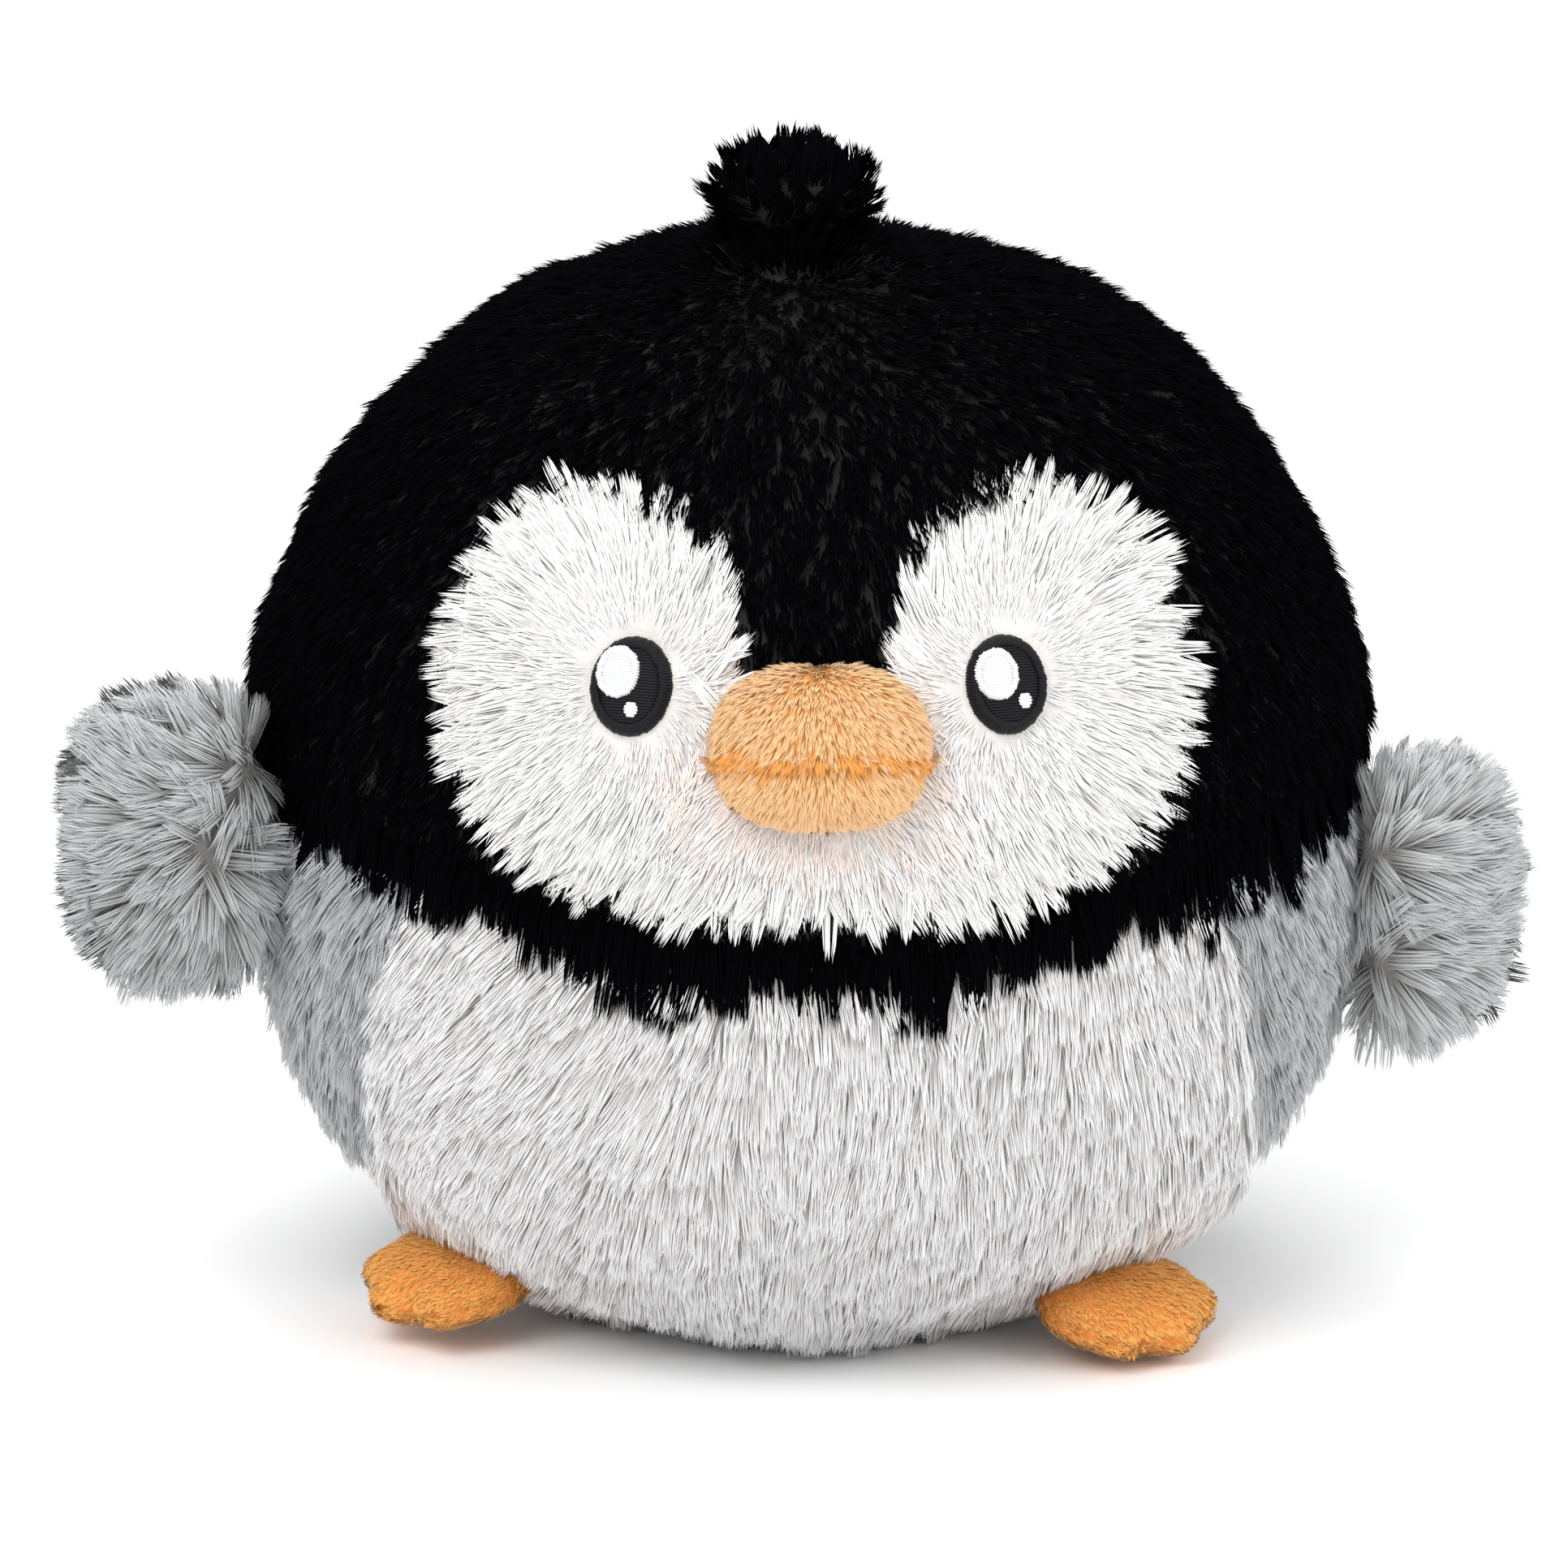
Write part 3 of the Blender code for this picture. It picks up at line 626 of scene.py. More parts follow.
FOOT = FINE | {
    "spacing": 0.75, "strands": 7, "length": 1.9, "root_lift": 40, "tip_lift": 10, "half_width": 0.5,
    "width": 0.18, "gather": 0.2, "messy": 12, "steps": (0, 0.7, 1), "run": 0.4, "depth": 0.2,
    "fray": 0.06,
}
BEAK = FOOT | {
    "spacing": 0.72, "strands": 8, "length": 2.7, "root_lift": 46, "tip_lift": 12, "width": 0.17,
    "messy": 7,
}
CREST = FINE | {
    "spacing": 2.0, "strands": 24, "length": 5.6, "root_lift": 60, "tip_lift": 24, "half_width": 1.4,
    "width": 0.36, "gather": 0.3, "messy": 18, "steps": (0, 0.35, 0.8, 1), "uneven_lift": 9,
    "depth": 1.0, "uneven_locks": 0.16,
}

DOWN = np.array([0.0, 0.0, -1.0])
OUTWARD_RIGHT = np.array([-1.0, 0.0, 0.0])
BACKWARD = np.array([0.0, 1.0, 0.0])


# How much thinner the pile is behind and underneath, and over which distances from the centre it thins
THINNER_BEHIND = 0.4
BEHIND = (5 * MM, 40 * MM)
THINNER_UNDER = 0.45
UNDER = (66 * MM, 80 * MM)


def density(p):
    """Share of the full pile density: full in front, thinner on the back, thinnest underneath."""
    back = 1 - THINNER_BEHIND * smooth_step(p[:, 1], *BEHIND)
    return back * (1 - THINNER_UNDER * smooth_step(CENTRE_Z - p[:, 2], *UNDER))


# The hood pile is longest and most upright by the crest, and shortest and flattest by the face
HOOD_HANG = 0.4
HOOD_LEVEL = (1, 1, 0.3)
BY_CREST = (7 * MM, 17 * MM)
CREST_LONGER = 0.3
CREST_RISE = 40
BY_FACE = (1 * MM, 9 * MM)
RIM_LENGTH = 0.38
RIM_FLATTENED = 16
# The fringe is the lowest band of the hood, and falls in blocks of two lengths
FRINGE_BAND = 4.5 * MM
FRINGE_LEAN = 0.16
FRINGE_BLOCKS = 0.2


def crown_point():
    """The root of the crest, which the pile of the hood lies away from."""
    return np.array(joint_named("crest_tilt")["pos_m"])


def hood_pile(skin, mat):
    place, normal = skin.scatter(HOOD["spacing"] * MM, in_hood(skin.centres) * density(skin.centres))
    above = place[:, 2] - CENTRE_Z
    comb = tangent(unit(place - crown_point()) * HOOD_LEVEL + HOOD_HANG * DOWN, normal)
    clear = smooth_step(-outline_distance(place[:, 0], above, FACE_OUTLINE), *BY_FACE)
    clear = np.where(place[:, 1] < 0, clear, 1)
    length = HOOD["length"] * MM * (RIM_LENGTH + (1 - RIM_LENGTH) * clear)
    by_crest = 1 - smooth_step(np.linalg.norm(place - crown_point(), axis=1), *BY_CREST)
    length = length * (1 + CREST_LONGER * by_crest)
    lift = CREST_RISE * by_crest - RIM_FLATTENED * (1 - clear)
    strands = pile(place, normal, comb, HOOD, length, lift)
    add_pile("hood_pile", strands, "body", mat)
    edge = in_hood(skin.centres) & (over_hood_seam(skin.centres) < FRINGE_BAND)
    place, normal = skin.scatter(FRINGE["spacing"] * MM, edge * density(skin.centres))
    lean = FRINGE_LEAN * ripple(place, "fringe_lean")[:, None] * OUTWARD_RIGHT
    comb = tangent(DOWN + lean, normal)
    blocks = 1 + FRINGE_BLOCKS * np.sign(ripple(place, "fringe_blocks"))
    fringe = pile(place, normal, comb, FRINGE, FRINGE["length"] * MM * blocks)
    add_pile("hood_fringe", fringe, "body", mat)


EYE_REACH = 1.0
BEAK_REACH = 1.3
FACE_HANG = 0.05
# The face pile grows longer away from the eyes and the beak
SHORT_FACE = 3.4
LONG_FACE = 7.8
FACE_GROWS = (8 * MM, 22 * MM)
# It is shorter by the notch between the two lobes
NOTCH_HALF = 14 * MM
NOTCH_ABOVE = 25 * MM
NOTCH_SHARE = 0.6
EYE_BARE = (5.5 * MM, 6.5 * MM)
# It is tinted in an oval round the beak
BLUSH_REACH = 15 * MM
BLUSH_WIDER = 1.35
BLUSH_UNEVEN = 3 * MM
# Tufts stand on this share of its rim
RIM_BAND = 4.5 * MM
RIM_SHARE = 0.6


def face_sources():
    """The places that the face pile lies away from, both eyes and the beak, and how strongly."""
    eye_spots = [((sign * EYE_OUT, EYE_ABOVE), EYE_REACH) for _, sign in SIDES]
    return [*eye_spots, ((0, BEAK_ABOVE), BEAK_REACH)]


def face_pile(skin, mat):
    place, normal = skin.scatter(FACE["spacing"] * MM, in_face(skin.centres))
    above = place[:, 2] - CENTRE_Z
    flat = np.stack([place[:, 0], above], axis=1)
    away = np.zeros_like(flat)
    nearest = np.full(len(flat), 1.0)
    for spot, reach in face_sources():
        gap = flat - np.array(spot)
        far = np.linalg.norm(gap, axis=1, keepdims=True)
        away += reach * gap / far**3
        nearest = np.minimum(nearest, far[:, 0] / reach)
    out = np.stack([away[:, 0], np.zeros(len(away)), away[:, 1]], axis=1)
    comb = tangent(unit(out) + FACE_HANG * DOWN, normal)
    by_notch = (np.abs(place[:, 0]) < NOTCH_HALF) & (above > NOTCH_ABOVE)
    length = SHORT_FACE + (LONG_FACE - SHORT_FACE) * smooth_step(nearest, *FACE_GROWS)
    length = length * MM * np.where(by_notch, NOTCH_SHARE, 1)
    keep = np.ones(len(place), bool)
    for _, sign in SIDES:
        across = (place[:, 0] - sign * EYE_OUT) / EYE_BARE[0]
        keep &= np.hypot(across, (above - EYE_ABOVE) / EYE_BARE[1]) > 1
    strands = pile(place[keep], normal[keep], comb[keep], FACE, length[keep])
    from_beak = np.hypot(place[keep, 0] / BLUSH_WIDER, above[keep] - BEAK_ABOVE)
    by_beak = from_beak < BLUSH_REACH + BLUSH_UNEVEN * rng.normal(size=keep.sum())
    tinted = np.repeat(by_beak, FACE["strands"])
    strands["tone"] = np.where(tinted, 1.0, np.minimum(strands["tone"], PLAIN_TONE))
    add_pile("face_pile", strands, "body", mat)
    inside = outline_distance(place[:, 0], above, FACE_OUTLINE)
    rim = np.flatnonzero((inside < RIM_BAND) & ~by_notch & (rng.random(len(place)) < RIM_SHARE))
    strands = pile(place[rim], normal[rim], comb[rim], FACE_RIM)
    strands["tone"] = np.minimum(strands["tone"], PLAIN_TONE)
    add_pile("face_rim_tufts", strands, "body", mat)


# The belly pile is swept outwards on the toy's right, a little the other way on its left, and less low down
SWEPT_RIGHT = (4 * MM, 46 * MM)
SWEPT_LEFT = (30 * MM, 60 * MM)
LEFT_SHARE = 0.25
SWEPT_HEIGHTS = (15 * MM, 60 * MM)
LOW_SHARE = 0.45
# Both belly and back pile start short under the hood
UNDER_HOOD = (0, 9 * MM)
UNDER_HOOD_SHARE = 0.6
BELLY_SWAY = 0.10
BELLY_UNEVEN = 0.08
BACK_SWAY = 0.2
BACK_SWEEP = 0.5
BACK_SWEPT_BEFORE = 40 * MM


def side_lean(p):
    """How far the belly pile is swept to the toy's own right."""
    swept = smooth_step(-p[:, 0], *SWEPT_RIGHT) - LEFT_SHARE * smooth_step(p[:, 0], *SWEPT_LEFT)
    return swept * (LOW_SHARE + (1 - LOW_SHARE) * smooth_step(p[:, 2], *SWEPT_HEIGHTS))


def hood_clearance(p):
    """Share of its full length that pile below the hood has."""
    return UNDER_HOOD_SHARE + (1 - UNDER_HOOD_SHARE) * smooth_step(-over_hood_seam(p), *UNDER_HOOD)


def belly_pile(skin, mat):
    place, normal = skin.scatter(BELLY["spacing"] * MM, in_belly(skin.centres) * density(skin.centres))
    sway = ripple(place, "belly_sway")[:, None] * np.array([BELLY_SWAY, 0, 0])
    comb = tangent(DOWN + side_lean(place)[:, None] * OUTWARD_RIGHT + sway, normal)
    length = BELLY["length"] * MM * hood_clearance(place)
    length = length * (1 + BELLY_UNEVEN * ripple(place, "belly_length"))
    strands = keep_off_floor(pile(place, normal, comb, BELLY, length))
    add_pile("belly_pile", strands, "body", mat)


def back_pile(skin, mat):
    place, normal = skin.scatter(BACK["spacing"] * MM, in_back(skin.centres) * density(skin.centres))
    sway = ripple(place, "back_sway")[:, None] * np.array([0, BACK_SWAY, 0])
    comb = tangent(DOWN + BACK_SWEEP * BACKWARD * (place[:, 1:2] < BACK_SWEPT_BEFORE) + sway, normal)
    length = BACK["length"] * MM * hood_clearance(place)
    strands = keep_off_floor(pile(place, normal, comb, BACK, length))
    add_pile("back_pile", strands, "body", mat)


BODY_NODES = ("hood", "face", "belly", "back", "base", "body")


def body_skin(skin, mats):
    """The knitted backing of all the body panels, each in its own colour, closed underneath."""
    points = np.concatenate([skin.points, [[0, 0, skin.points[-1, 2]]]])
    last = len(skin.points) - SKIN_COLUMNS
    rim = np.arange(SKIN_COLUMNS)
    middle = np.full(SKIN_COLUMNS, len(points) - 1)
    cap = np.stack([last + rim, last + (rim + 1) % SKIN_COLUMNS, middle], axis=1)[:, ::-1]
    mesh = mesh_of("body_skin", points, np.concatenate([skin.faces, cap]))
    obj = add_piece("body_skin", mesh, "body", mats["belly_backing"])
    centres = skin.centres
    panel = np.select([in_face(centres), in_hood(centres), in_back(centres)], [1, 2, 3], 0)
    for name in ("white_backing", "black_backing", "silver_backing"):
        mesh.materials.append(mats[name])
    mesh.polygons.foreach_set("material_index", np.append(panel, np.zeros(len(cap))).astype(np.int32))
    weld(mesh)
    covered = [name for name in frame["nodes"] if name.split("_")[0] in BODY_NODES]
    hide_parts(*covered)


# ---------------- stuffed pads

def joint_named(name):
    return next(joint for joint in frame["record"]["behaviour"]["joints"] if joint["name"] == name)


PAD_ROWS, PAD_COLUMNS = 28, 56
PAD_SQUARENESS = 0.9
# The seam round each pad draws the cloth in, in this many gathers
PUCKERS = 17
PUCKER_DEPTH = 0.10
PUCKER_BAND = 0.18


class Pad:
    """A stuffed pad: X runs out from its root seam, Y through its thickness and Z along the seam.

    tucked is how far its root goes into the body, and raised is how far it sits above its joint.
    """

    def __init__(self, joint, filling, size, outline, tucked=0, raised=0):
        self.length, self.width, thick = size
        record = joint_named(joint)
        root = Vector(record["pos_m"])
        low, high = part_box(filling)
        out = ((low + high) / 2 - root).normalized()
        root += Vector((0, 0, raised)) - out * tucked
        seam = Vector(record["axis"])
        seam = (seam - out * seam.dot(out)).normalized()
        if seam.z < -0.5 or (abs(seam.z) < 0.5 and seam.x < 0):
            seam = -seam
        through = seam.cross(out)
        self.matrix = np.array([list(out), list(through), list(seam)]).T
        self.root = np.array(root)
        polar = np.linspace(0.0, math.pi, PAD_ROWS)[:, None]
        around = (np.arange(PAD_COLUMNS) / PAD_COLUMNS * math.tau)[None, :]
        x, z = outline(around + 0 * polar)
        flat = np.sin(polar) ** PAD_SQUARENESS
        depth = np.cos(polar)
        by_seam = np.exp(-((depth / PUCKER_BAND) ** 2))
        pucker = 1 - PUCKER_DEPTH * by_seam * (0.5 + 0.5 * np.sin(around * PUCKERS))
        local = np.stack([
            self.length / 2 * (1 + flat * x * pucker),
            thick / 2 * depth + 0 * around,
            self.width / 2 * flat * z * pucker,
        ], axis=-1).reshape(-1, 3)
        points = self.root + local @ self.matrix.T
        self.surface = Surface(points, grid_faces(PAD_ROWS, PAD_COLUMNS))
        if (self.surface.normals * (points - points.mean(axis=0))).sum() < 0:
            self.surface = Surface(points, self.surface.faces[:, ::-1])

    def to_local(self, points):
        return (points - self.root) @ self.matrix


# How square the outline of a wing is at its root and at its tip: 2 would be an ellipse
WING_ROOT_POWER = 3.2
WING_TIP_POWER = 2.2


def wing_outline(angle):
    c, s = np.cos(angle), np.sin(angle)
    power = np.where(c < 0, 2 / WING_ROOT_POWER, 2 / WING_TIP_POWER)
    return np.sign(c) * np.abs(c) ** power, np.sign(s) * np.abs(s) ** power


TOE_DEPTH = 0.08
TOE_FADE = 0.7
TOE_TURNS = 7


def foot_outline(angle):
    c, s = np.cos(angle), np.sin(angle)
    toes = TOE_DEPTH * np.maximum(c, 0) ** TOE_FADE * np.cos(TOE_TURNS * np.arcsin(np.clip(s, -1, 1)))
    return c * (1 + toes), s * (1 + toes)


def round_outline(angle):
    return np.cos(angle), np.sin(angle)


def pad_skin(name, pad, body, mat, nodes):
    mesh = mesh_of(name, pad.surface.points, pad.surface.faces)
    weld(mesh)
    obj = add_piece(name, mesh, body, mat)
    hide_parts(*nodes)


# The wing pile lies away from its whorls and out to the tip, shorter where it parts and round the rim
WHORL_CORE = 2 * MM
WHORL_EDGE = (2 * MM, 8 * MM)
TO_TIP = (0.35, 0, -0.05)
SWIRL = 0.5
PARTED_LIFT = 12
PARTED_SHORTER = 0.2
WING_RIM = (0.75, 1)
WING_RIM_SHORTER = 0.3


def wing_pile(pad, name, body, mat, whorls):
    """Even, blunt locks that fan out from the whorls, standing up more where they part."""
    place, normal = pad.surface.scatter(WING["spacing"] * MM)
    local = pad.to_local(place)
    away = np.zeros_like(local)
    nearest = np.full(len(local), 1.0)
    for x, z in whorls:
        gap = local - np.array([x * MM, 0, z * MM])
        gap[:, 1] = 0
        far = np.linalg.norm(gap, axis=1, keepdims=True)
        away += gap / np.maximum(far, WHORL_CORE) ** 2
        nearest = np.minimum(nearest, far[:, 0])
    away = unit(away) + np.array(TO_TIP)
    comb = tangent(away @ pad.matrix.T, normal)
    swirl = ripple(place, "wing_swirl")[:, None] * SWIRL
    comb = unit(comb + swirl * np.cross(normal, comb))
    parted = 1 - smooth_step(nearest, *WHORL_EDGE)
    end = smooth_step(np.abs(local[:, 2]) / pad.width * 2, *WING_RIM)
    tip = smooth_step(local[:, 0] / pad.length, *WING_RIM)
    shorter = PARTED_SHORTER * parted + WING_RIM_SHORTER * np.minimum(end + tip, 1)
    length = WING["length"] * MM * (1 - shorter)
    strands = pile(place, normal, comb, WING, length, lift=PARTED_LIFT * parted)
    add_pile(f"{name}_pile", strands, body, mat)


def short_pile(pad, name, body, mat, style, outward):
    """Pile that lies away from the middle of the pad, and by this much more away from its root."""
    place, normal = pad.surface.scatter(style["spacing"] * MM)
    local = pad.to_local(place)
    away = unit(local) + np.array([outward, 0, 0])
    comb = tangent(away @ pad.matrix.T, normal)
    strands = keep_off_floor(pile(place, normal, comb, style))
    add_pile(f"{name}_pile", strands, body, mat)


# Length out from the root, width along it and thickness of each pad, and where the wing pile parts in mm
WING_SIZE = (26 * MM, 40 * MM, 12 * MM)
WING_WHORLS = {"right": ((9, -3), (1, 12)), "left": ((-1, 9), (-2, -9))}
FOOT_SIZE = (25 * MM, 30 * MM, 11 * MM)
FOOT_TUCKED = 5.5 * MM
FOOT_RAISED = {"right": 3 * MM, "left": 1 * MM}
CREST_SIZE = (12.5 * MM, 20 * MM, 10 * MM)
CREST_TUCKED = 0.5 * MM
FOOT_OUTWARD = 0.6
CREST_OUTWARD = 0.7


def nodes_starting(start):
    return [name for name in frame["nodes"] if name.startswith(start)]


def limbs(mats):
    for side, _ in SIDES:
        name, body = f"wing_{side}", f"{side}_wing"
        wing = Pad(f"{side}_wing_sweep", f"{name}_filling", WING_SIZE, wing_outline)
        pad_skin(f"{name}_skin", wing, body, mats["silver_backing"], nodes_starting(name))
        wing_pile(wing, name, body, mats["silver"], WING_WHORLS[side])
        name, body = f"foot_{side}", f"{side}_foot"
        foot = Pad(
            f"{side}_foot_lift", f"{name}_filling", FOOT_SIZE, foot_outline, FOOT_TUCKED, FOOT_RAISED[side]
        )
        pad_skin(f"{name}_skin", foot, body, mats["orange_backing"], nodes_starting(name))
        short_pile(foot, name, body, mats["orange"], FOOT, FOOT_OUTWARD)
    crest = Pad("crest_tilt", "crest_filling", CREST_SIZE, round_outline, CREST_TUCKED)
    pad_skin("crest_skin", crest, "head_crest", mats["black_backing"], nodes_starting("crest"))
    short_pile(crest, "crest", "head_crest", mats["black"], CREST, CREST_OUTWARD)


# ---------------- beak

def body_place(x, above):
    """The point on the outside of the CAD body in front at this x and height, and the way out of it."""
    reach, power = (TOP_ABOVE, TOP_FULLNESS) if above >= 0 else (BOTTOM_BELOW, BOTTOM_FULLNESS)
    ring = (1 - (abs(above) / reach) ** power) ** (1 / power)
    y = -HALF_DEPTH * math.sqrt(max(ring**2 - (x / HALF_WIDTH) ** 2, 0))
    rise = math.copysign((abs(above) / reach) ** (power - 1) * ring ** (2 - power) / reach, above)
    out = Vector((x / HALF_WIDTH**2, y / HALF_DEPTH**2, rise)).normalized()
    return Vector((x, y, CENTRE_Z + above)), out


def facing_turn(out):
    """Turns (across, up, out of the cloth) into world directions."""
    across = Vector((0, 0, 1)).cross(out).normalized()
    return np.array([list(across), list(out.cross(across)), list(out)]).T


def rounded(x):
    """Squares off a circle's sine or cosine a little."""
    return np.sign(x) * np.abs(x) ** BEAK_SQUARENESS


# Part, width, how far it reaches above and below the crease, and how proud it stands, in mm
BEAK_PADS = (("upper", 31, 13.2, 1.6, 9.6), ("lower", 29, 1.6, 9.8, 8.8))
BEAK_SQUARENESS = 0.8
BEAK_ROWS, BEAK_COLUMNS = 22, 48
BEAK_TURN = math.pi * 0.62
BEAK_OFF_CLOTH = 1.0
# Its pile lies outwards and a little down, and is darker in the crease: painted shade, a deeper orange
BEAK_OUTWARD = 2.4
BEAK_DOWN = 1 * MM
CREASE_AT = 0.6 * MM
PAINTED_SHADE_HALF = 1.2 * MM
PAINTED_SHADE_UNEVEN = 0.7 * MM


def beak_pads(mats):
    point, out = body_place(0, BEAK_ABOVE)
    turn = facing_turn(out)
    polar = np.linspace(0.0, BEAK_TURN, BEAK_ROWS)[:, None]
    around = (np.arange(BEAK_COLUMNS) / BEAK_COLUMNS * math.tau)[None, :]
    flat = np.sin(polar)
    for part, width, above, below, proud in BEAK_PADS:
        local = np.stack([
            width / 2 * flat * rounded(np.cos(around)),
            flat * rounded(np.sin(around)) * np.where(np.sin(around) > 0, above, below),
            proud * rounded(np.cos(polar)) + 0 * around + BEAK_OFF_CLOTH,
        ], axis=-1).reshape(-1, 3) * MM
        points = np.array(point) + local @ turn.T
        surface = Surface(points, grid_faces(BEAK_ROWS, BEAK_COLUMNS))
        if (surface.normals @ np.array(out)).mean() < 0:
            surface = Surface(points, surface.faces[:, ::-1])
        mesh = mesh_of(f"beak_{part}_skin", surface.points, surface.faces)
        skin = add_piece(f"beak_{part}_skin", mesh, "body", mats["peach_backing"])
        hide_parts(f"beak_{part}", f"beak_{part}_filling")
        place, normal = surface.scatter(BEAK["spacing"] * MM)
        across, up, _ = ((place - np.array(point)) @ turn).T
        away = np.stack([across / width * BEAK_OUTWARD, 0 * across - BEAK_DOWN, 0 * across], axis=1)
        comb = tangent(away @ turn.T, normal)
        strands = pile(place, normal, comb, BEAK)
        # Strands along the crease are painted shade: they take the deeper orange of the peach pile
        painted_crease_shade = np.abs(up - CREASE_AT) < PAINTED_SHADE_HALF + PAINTED_SHADE_UNEVEN * rng.normal(size=len(up))
        painted_crease_shade = np.repeat(painted_crease_shade, BEAK["strands"])
        strands["tone"] = np.where(painted_crease_shade, 1.0, np.minimum(strands["tone"], PLAIN_TONE))
        add_pile(f"beak_{part}_pile", strands, "body", mats["peach"])


# ---------------- embroidered eyes

# Everything about the eyes is in mm
THREAD_RADIUS = 0.25
THREAD_PITCH = 0.42
THREAD_SIDES = 6
THREAD_RINGS = 8
PUPIL_HALF = (6.3, 7.3)
HIGHLIGHT_HALF = (3.3, 3.8)
SPARKLE_HALF = (1.05, 1.1)
# Where the highlight and the sparkle sit: across and up from the middle of each eye
MARKS = {"right": ((-1.8, 1.9), (0.8, -3.5)), "left": ((-1.9, 1.5), (2.0, -2.7))}


THREAD_END = 0.6
STITCH_UNEVEN = 0.1
STITCH_RISE = 0.3
EYE_BULGE = 0.6
# How far the rows of a layer stop inside its edge, how high they lie, and how long the stitches of its
# border are, how high they lie and how far their outer ends go down
PUPIL_STITCHING = (1.0, 0.9, 1.7, 1.0, 1.6)
HIGHLIGHT_STITCHING = (0.5, 1.35, 0.9, 1.4, 0.5)
SPARKLE_HEIGHT = 1.35


def thread_rows(half, height):
    """Level rows of thread that fill an oval: across, up and out of the cloth, in mm."""
    rows = np.arange(-half[1] + THREAD_PITCH / 2, half[1], THREAD_PITCH)
    reach = half[0] * np.sqrt(1 - (rows / half[1]) ** 2)
    t = np.linspace(-1, 1, THREAD_RINGS)
    across = t[None] * reach[:, None]
    return np.stack([across, rows[:, None] + 0 * across, height + 0 * across], axis=-1)


def thread_border(half, stitch, height, dive):
    """Short stitches side by side round the edge of an oval, their outer ends pulled into the cloth."""
    count = int(math.tau * (half[0] + half[1]) / 2 / THREAD_PITCH)
    angle = (np.arange(count) + 0.5) / count * math.tau
    t = np.linspace(0, 1, THREAD_RINGS)
    size = np.array(half)[None, :] + rng.uniform(-STITCH_UNEVEN, STITCH_UNEVEN, (count, 1))
    inner = size - stitch
    spot = np.stack([np.cos(angle), np.sin(angle)], axis=1)
    flat = spot[:, None] * (inner[:, None] + (size - inner)[:, None] * t[:, None])
    rise = height + STITCH_RISE * np.sin(t * math.pi) - dive * t**4
    return np.concatenate([flat, np.broadcast_to(rise[:, None], (count, THREAD_RINGS, 1))], axis=2)


def bordered(half, stitching):
    """An oval filled with rows of thread inside a border of stitches."""
    inset, row_height, stitch, height, dive = stitching
    rows = thread_rows((half[0] - inset, half[1] - inset), row_height)
    return np.concatenate([rows, thread_border(half, stitch, height, dive)])


def thread_mesh(name, lines, out):
    """Round threads with closed ends that follow these lines."""
    way = unit(np.gradient(lines, axis=1))
    side = unit(np.cross(way, out))
    up = np.cross(side, way)
    angles = np.arange(THREAD_SIDES) / THREAD_SIDES * math.tau
    ring = side[:, :, None] * np.cos(angles)[:, None] + up[:, :, None] * np.sin(angles)[:, None]
    swell = np.ones(THREAD_RINGS)
    swell[[0, -1]] = THREAD_END
    tubes = lines[:, :, None] + ring * (THREAD_RADIUS * MM * swell)[:, None, None]
    one = []
    for r in range(THREAD_RINGS - 1):
        for c in range(THREAD_SIDES):
            a, b = r * THREAD_SIDES + c, r * THREAD_SIDES + (c + 1) % THREAD_SIDES
            one += [(a, b, b + THREAD_SIDES), (a, b + THREAD_SIDES, a + THREAD_SIDES)]
    last = (THREAD_RINGS - 1) * THREAD_SIDES
    for c in range(1, THREAD_SIDES - 1):
        one += [(0, c + 1, c), (last, last + c, last + c + 1)]
    each = THREAD_RINGS * THREAD_SIDES
    faces = np.array(one)[None] + (np.arange(len(lines)) * each)[:, None, None]
    return mesh_of(name, tubes.reshape(-1, 3), faces.reshape(-1, 3))


def eyes(mats):
    for side, sign in SIDES:
        point, out = body_place(sign * EYE_OUT, EYE_ABOVE)
        turn = facing_turn(out)
        highlight_at, sparkle_at = MARKS[side]
        pupil = bordered(PUPIL_HALF, PUPIL_STITCHING)
        highlight = bordered(HIGHLIGHT_HALF, HIGHLIGHT_STITCHING) + np.array([*highlight_at, 0])
        sparkle = thread_rows(SPARKLE_HALF, SPARKLE_HEIGHT) + np.array([*sparkle_at, 0])
        for layer, lines, mat in (
            ("pupil", pupil, "black_thread"),
            ("highlight", highlight, "white_thread"),
            ("sparkle", sparkle, "white_thread"),
        ):
            from_middle = (lines[..., 0] / PUPIL_HALF[0]) ** 2 + (lines[..., 1] / PUPIL_HALF[1]) ** 2
            lines[..., 2] += EYE_BULGE * (1 - from_middle)
            name = f"eye_{side}_{layer}_threads"
            mesh = thread_mesh(name, np.array(point) + lines * MM @ turn.T, np.array(out))
            threads = add_piece(name, mesh, "body", mats[mat])
            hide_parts(f"eye_{side}_{layer}")


# ---------------- studio

FLOOR_SIZE = 8
FLOOR_GREY = 0.93
FLOOR_ROUGHNESS = 0.9
AROUND_STRENGTH = 0.9
# Name, place, size and power of each lamp
LAMPS = (
    ("key", (-0.5, -0.9, 1.1), 0.8, 11),
    ("fill", (0.9, -0.7, 0.7), 0.9, 5),
    ("top", (0.1, 0.3, 1.3), 0.9, 5),
)


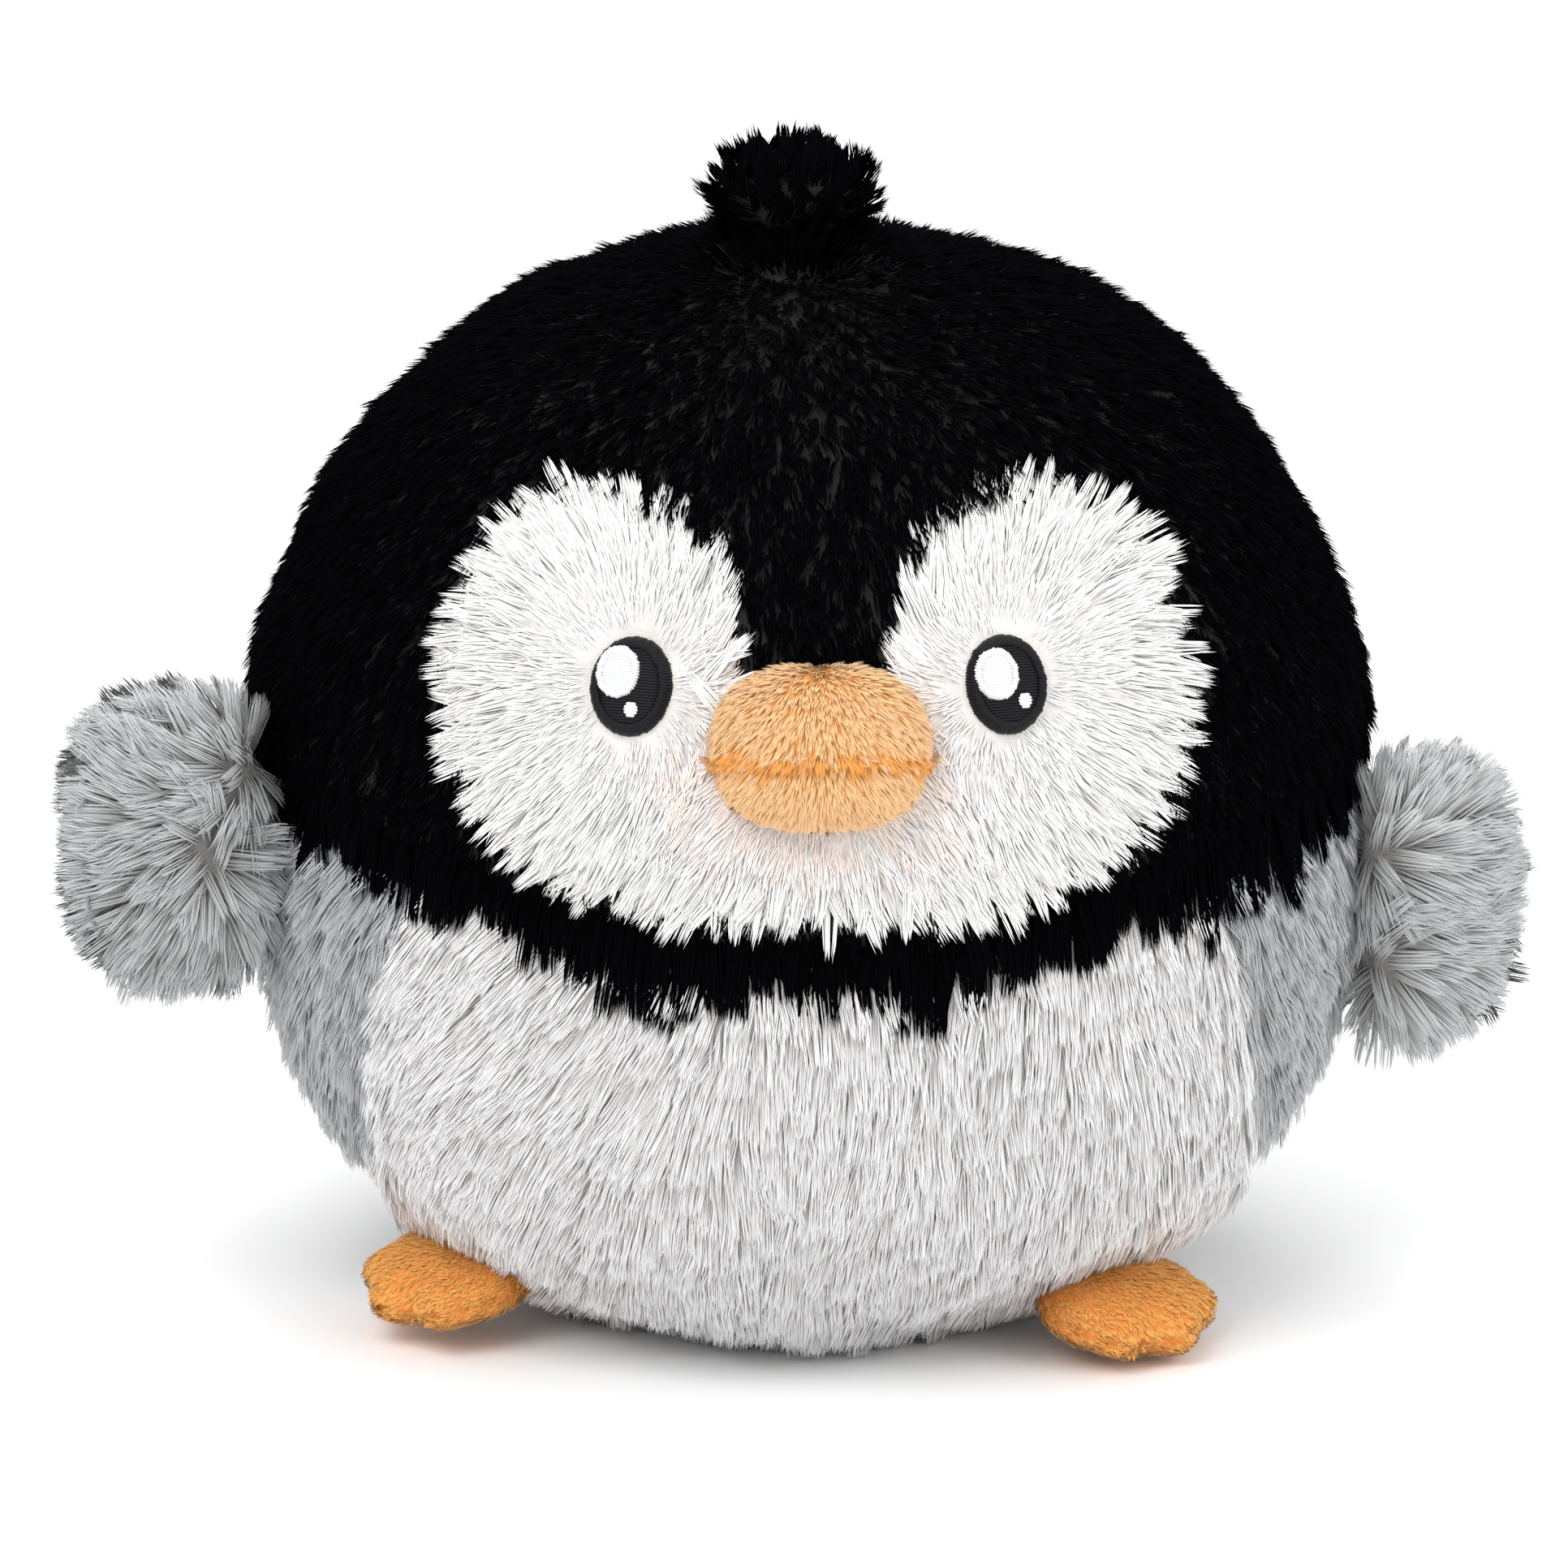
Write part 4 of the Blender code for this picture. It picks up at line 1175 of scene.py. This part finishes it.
def floor_and_light():
    bpy.ops.mesh.primitive_plane_add(size=FLOOR_SIZE, location=(0, 0, 0))
    floor = bpy.context.object
    floor.name = "floor"
    made, _, shader = nodes_of("floor_white")
    shader.inputs["Base Color"].default_value = (FLOOR_GREY, FLOOR_GREY, FLOOR_GREY, 1)
    shader.inputs["Roughness"].default_value = FLOOR_ROUGHNESS
    floor.data.materials.append(made)
    world = bpy.data.worlds.new("studio")
    bpy.context.scene.world = world
    world.use_nodes = True
    background = world.node_tree.nodes["Background"]
    background.inputs["Color"].default_value = (1, 1, 1, 1)
    background.inputs["Strength"].default_value = AROUND_STRENGTH
    for name, place, size, power in LAMPS:
        data = bpy.data.lights.new(name, "AREA")
        data.size = size
        data.energy = power
        light = bpy.data.objects.new(name, data)
        light.location = place
        aim = Vector((0, 0, CENTRE_Z)) - Vector(place)
        light.rotation_euler = aim.to_track_quat("-Z", "Y").to_euler()
        bpy.context.scene.collection.objects.link(light)
    bpy.context.scene.view_settings.view_transform = "Standard"


CAMERA_AZIMUTH = -1.3
CAMERA_ELEVATION = 14.5
CAMERA_LENS = 200
SENSOR_WIDTH = 36
FRAME_WIDTH = 243 * MM
AIM_X = -3.5 * MM


def camera():
    data = bpy.data.cameras.new("camera")
    data.lens = CAMERA_LENS
    data.sensor_width = SENSOR_WIDTH
    obj = bpy.data.objects.new("camera", data)
    bpy.context.scene.collection.objects.link(obj)
    azimuth, elevation = math.radians(CAMERA_AZIMUTH), math.radians(CAMERA_ELEVATION)
    back = Vector((
        math.sin(azimuth) * math.cos(elevation),
        -math.cos(azimuth) * math.cos(elevation),
        math.sin(elevation),
    ))
    aim = Vector((AIM_X, 0, CENTRE_Z))
    obj.location = aim + back * (FRAME_WIDTH * CAMERA_LENS / SENSOR_WIDTH)
    obj.rotation_euler = (-back).to_track_quat("-Z", "Y").to_euler()
    bpy.context.scene.camera = obj


# ---------------- the whole toy

def main():
    camera()
    floor_and_light()
    mats = {
        # A few of the black pile's strand tips are painted glints in bluish grey, in place of a specular
        # sheen
        "black": pile_material(
            "black_pile_strands", BLACK_STOPS, tone=0.4, roughness=0.7, sheen=0.0, specular=0.01,
            tint_and_painted_light=shade(40, 41, 48), tint_and_painted_light_from=0.85, through=0,
        ),
        "white": pile_material(
            "white_pile_strands", WHITE_STOPS, tone=0.04, tint_and_painted_light=shade(252, 238, 230), through=0.08
        ),
        "belly": pile_material("light_grey_pile_strands", BELLY_STOPS, tone=0.06, through=0.12),
        "back": pile_material("mid_grey_pile_strands", BACK_STOPS, tone=0.12),
        "silver": pile_material("silver_pile_strands", SILVER_STOPS, tone=0.13),
        "orange": pile_material("orange_pile_strands", ORANGE_STOPS, tone=0.06, through=0),
        # The deeper orange that the peach pile takes in the beak crease is painted shade
        "peach": pile_material(
            "peach_pile_strands", PEACH_STOPS, tone=0.06, tint_and_painted_light=shade(243, 166, 88), through=0
        ),
        "belly_backing": backing_material("light_grey_backing", shade(176, 170, 165)),
        "white_backing": backing_material("white_backing", shade(226, 221, 216)),
        "black_backing": backing_material("black_backing", (0.0015, 0.0015, 0.002)),
        "silver_backing": backing_material("silver_backing", shade(128, 126, 125)),
        "orange_backing": backing_material("orange_backing", shade(238, 142, 60)),
        "peach_backing": backing_material("peach_backing", shade(240, 165, 85)),
        "black_thread": thread_material("black_thread", shade(26, 25, 30), shade(16, 15, 19)),
        "white_thread": thread_material("white_thread", shade(232, 233, 237), shade(206, 207, 212)),
    }
    skin = make_body_surface()
    body_skin(skin, mats)
    hood_pile(skin, mats["black"])
    face_pile(skin, mats["white"])
    belly_pile(skin, mats["belly"])
    back_pile(skin, mats["back"])
    beak_pads(mats)
    limbs(mats)
    eyes(mats)


main()
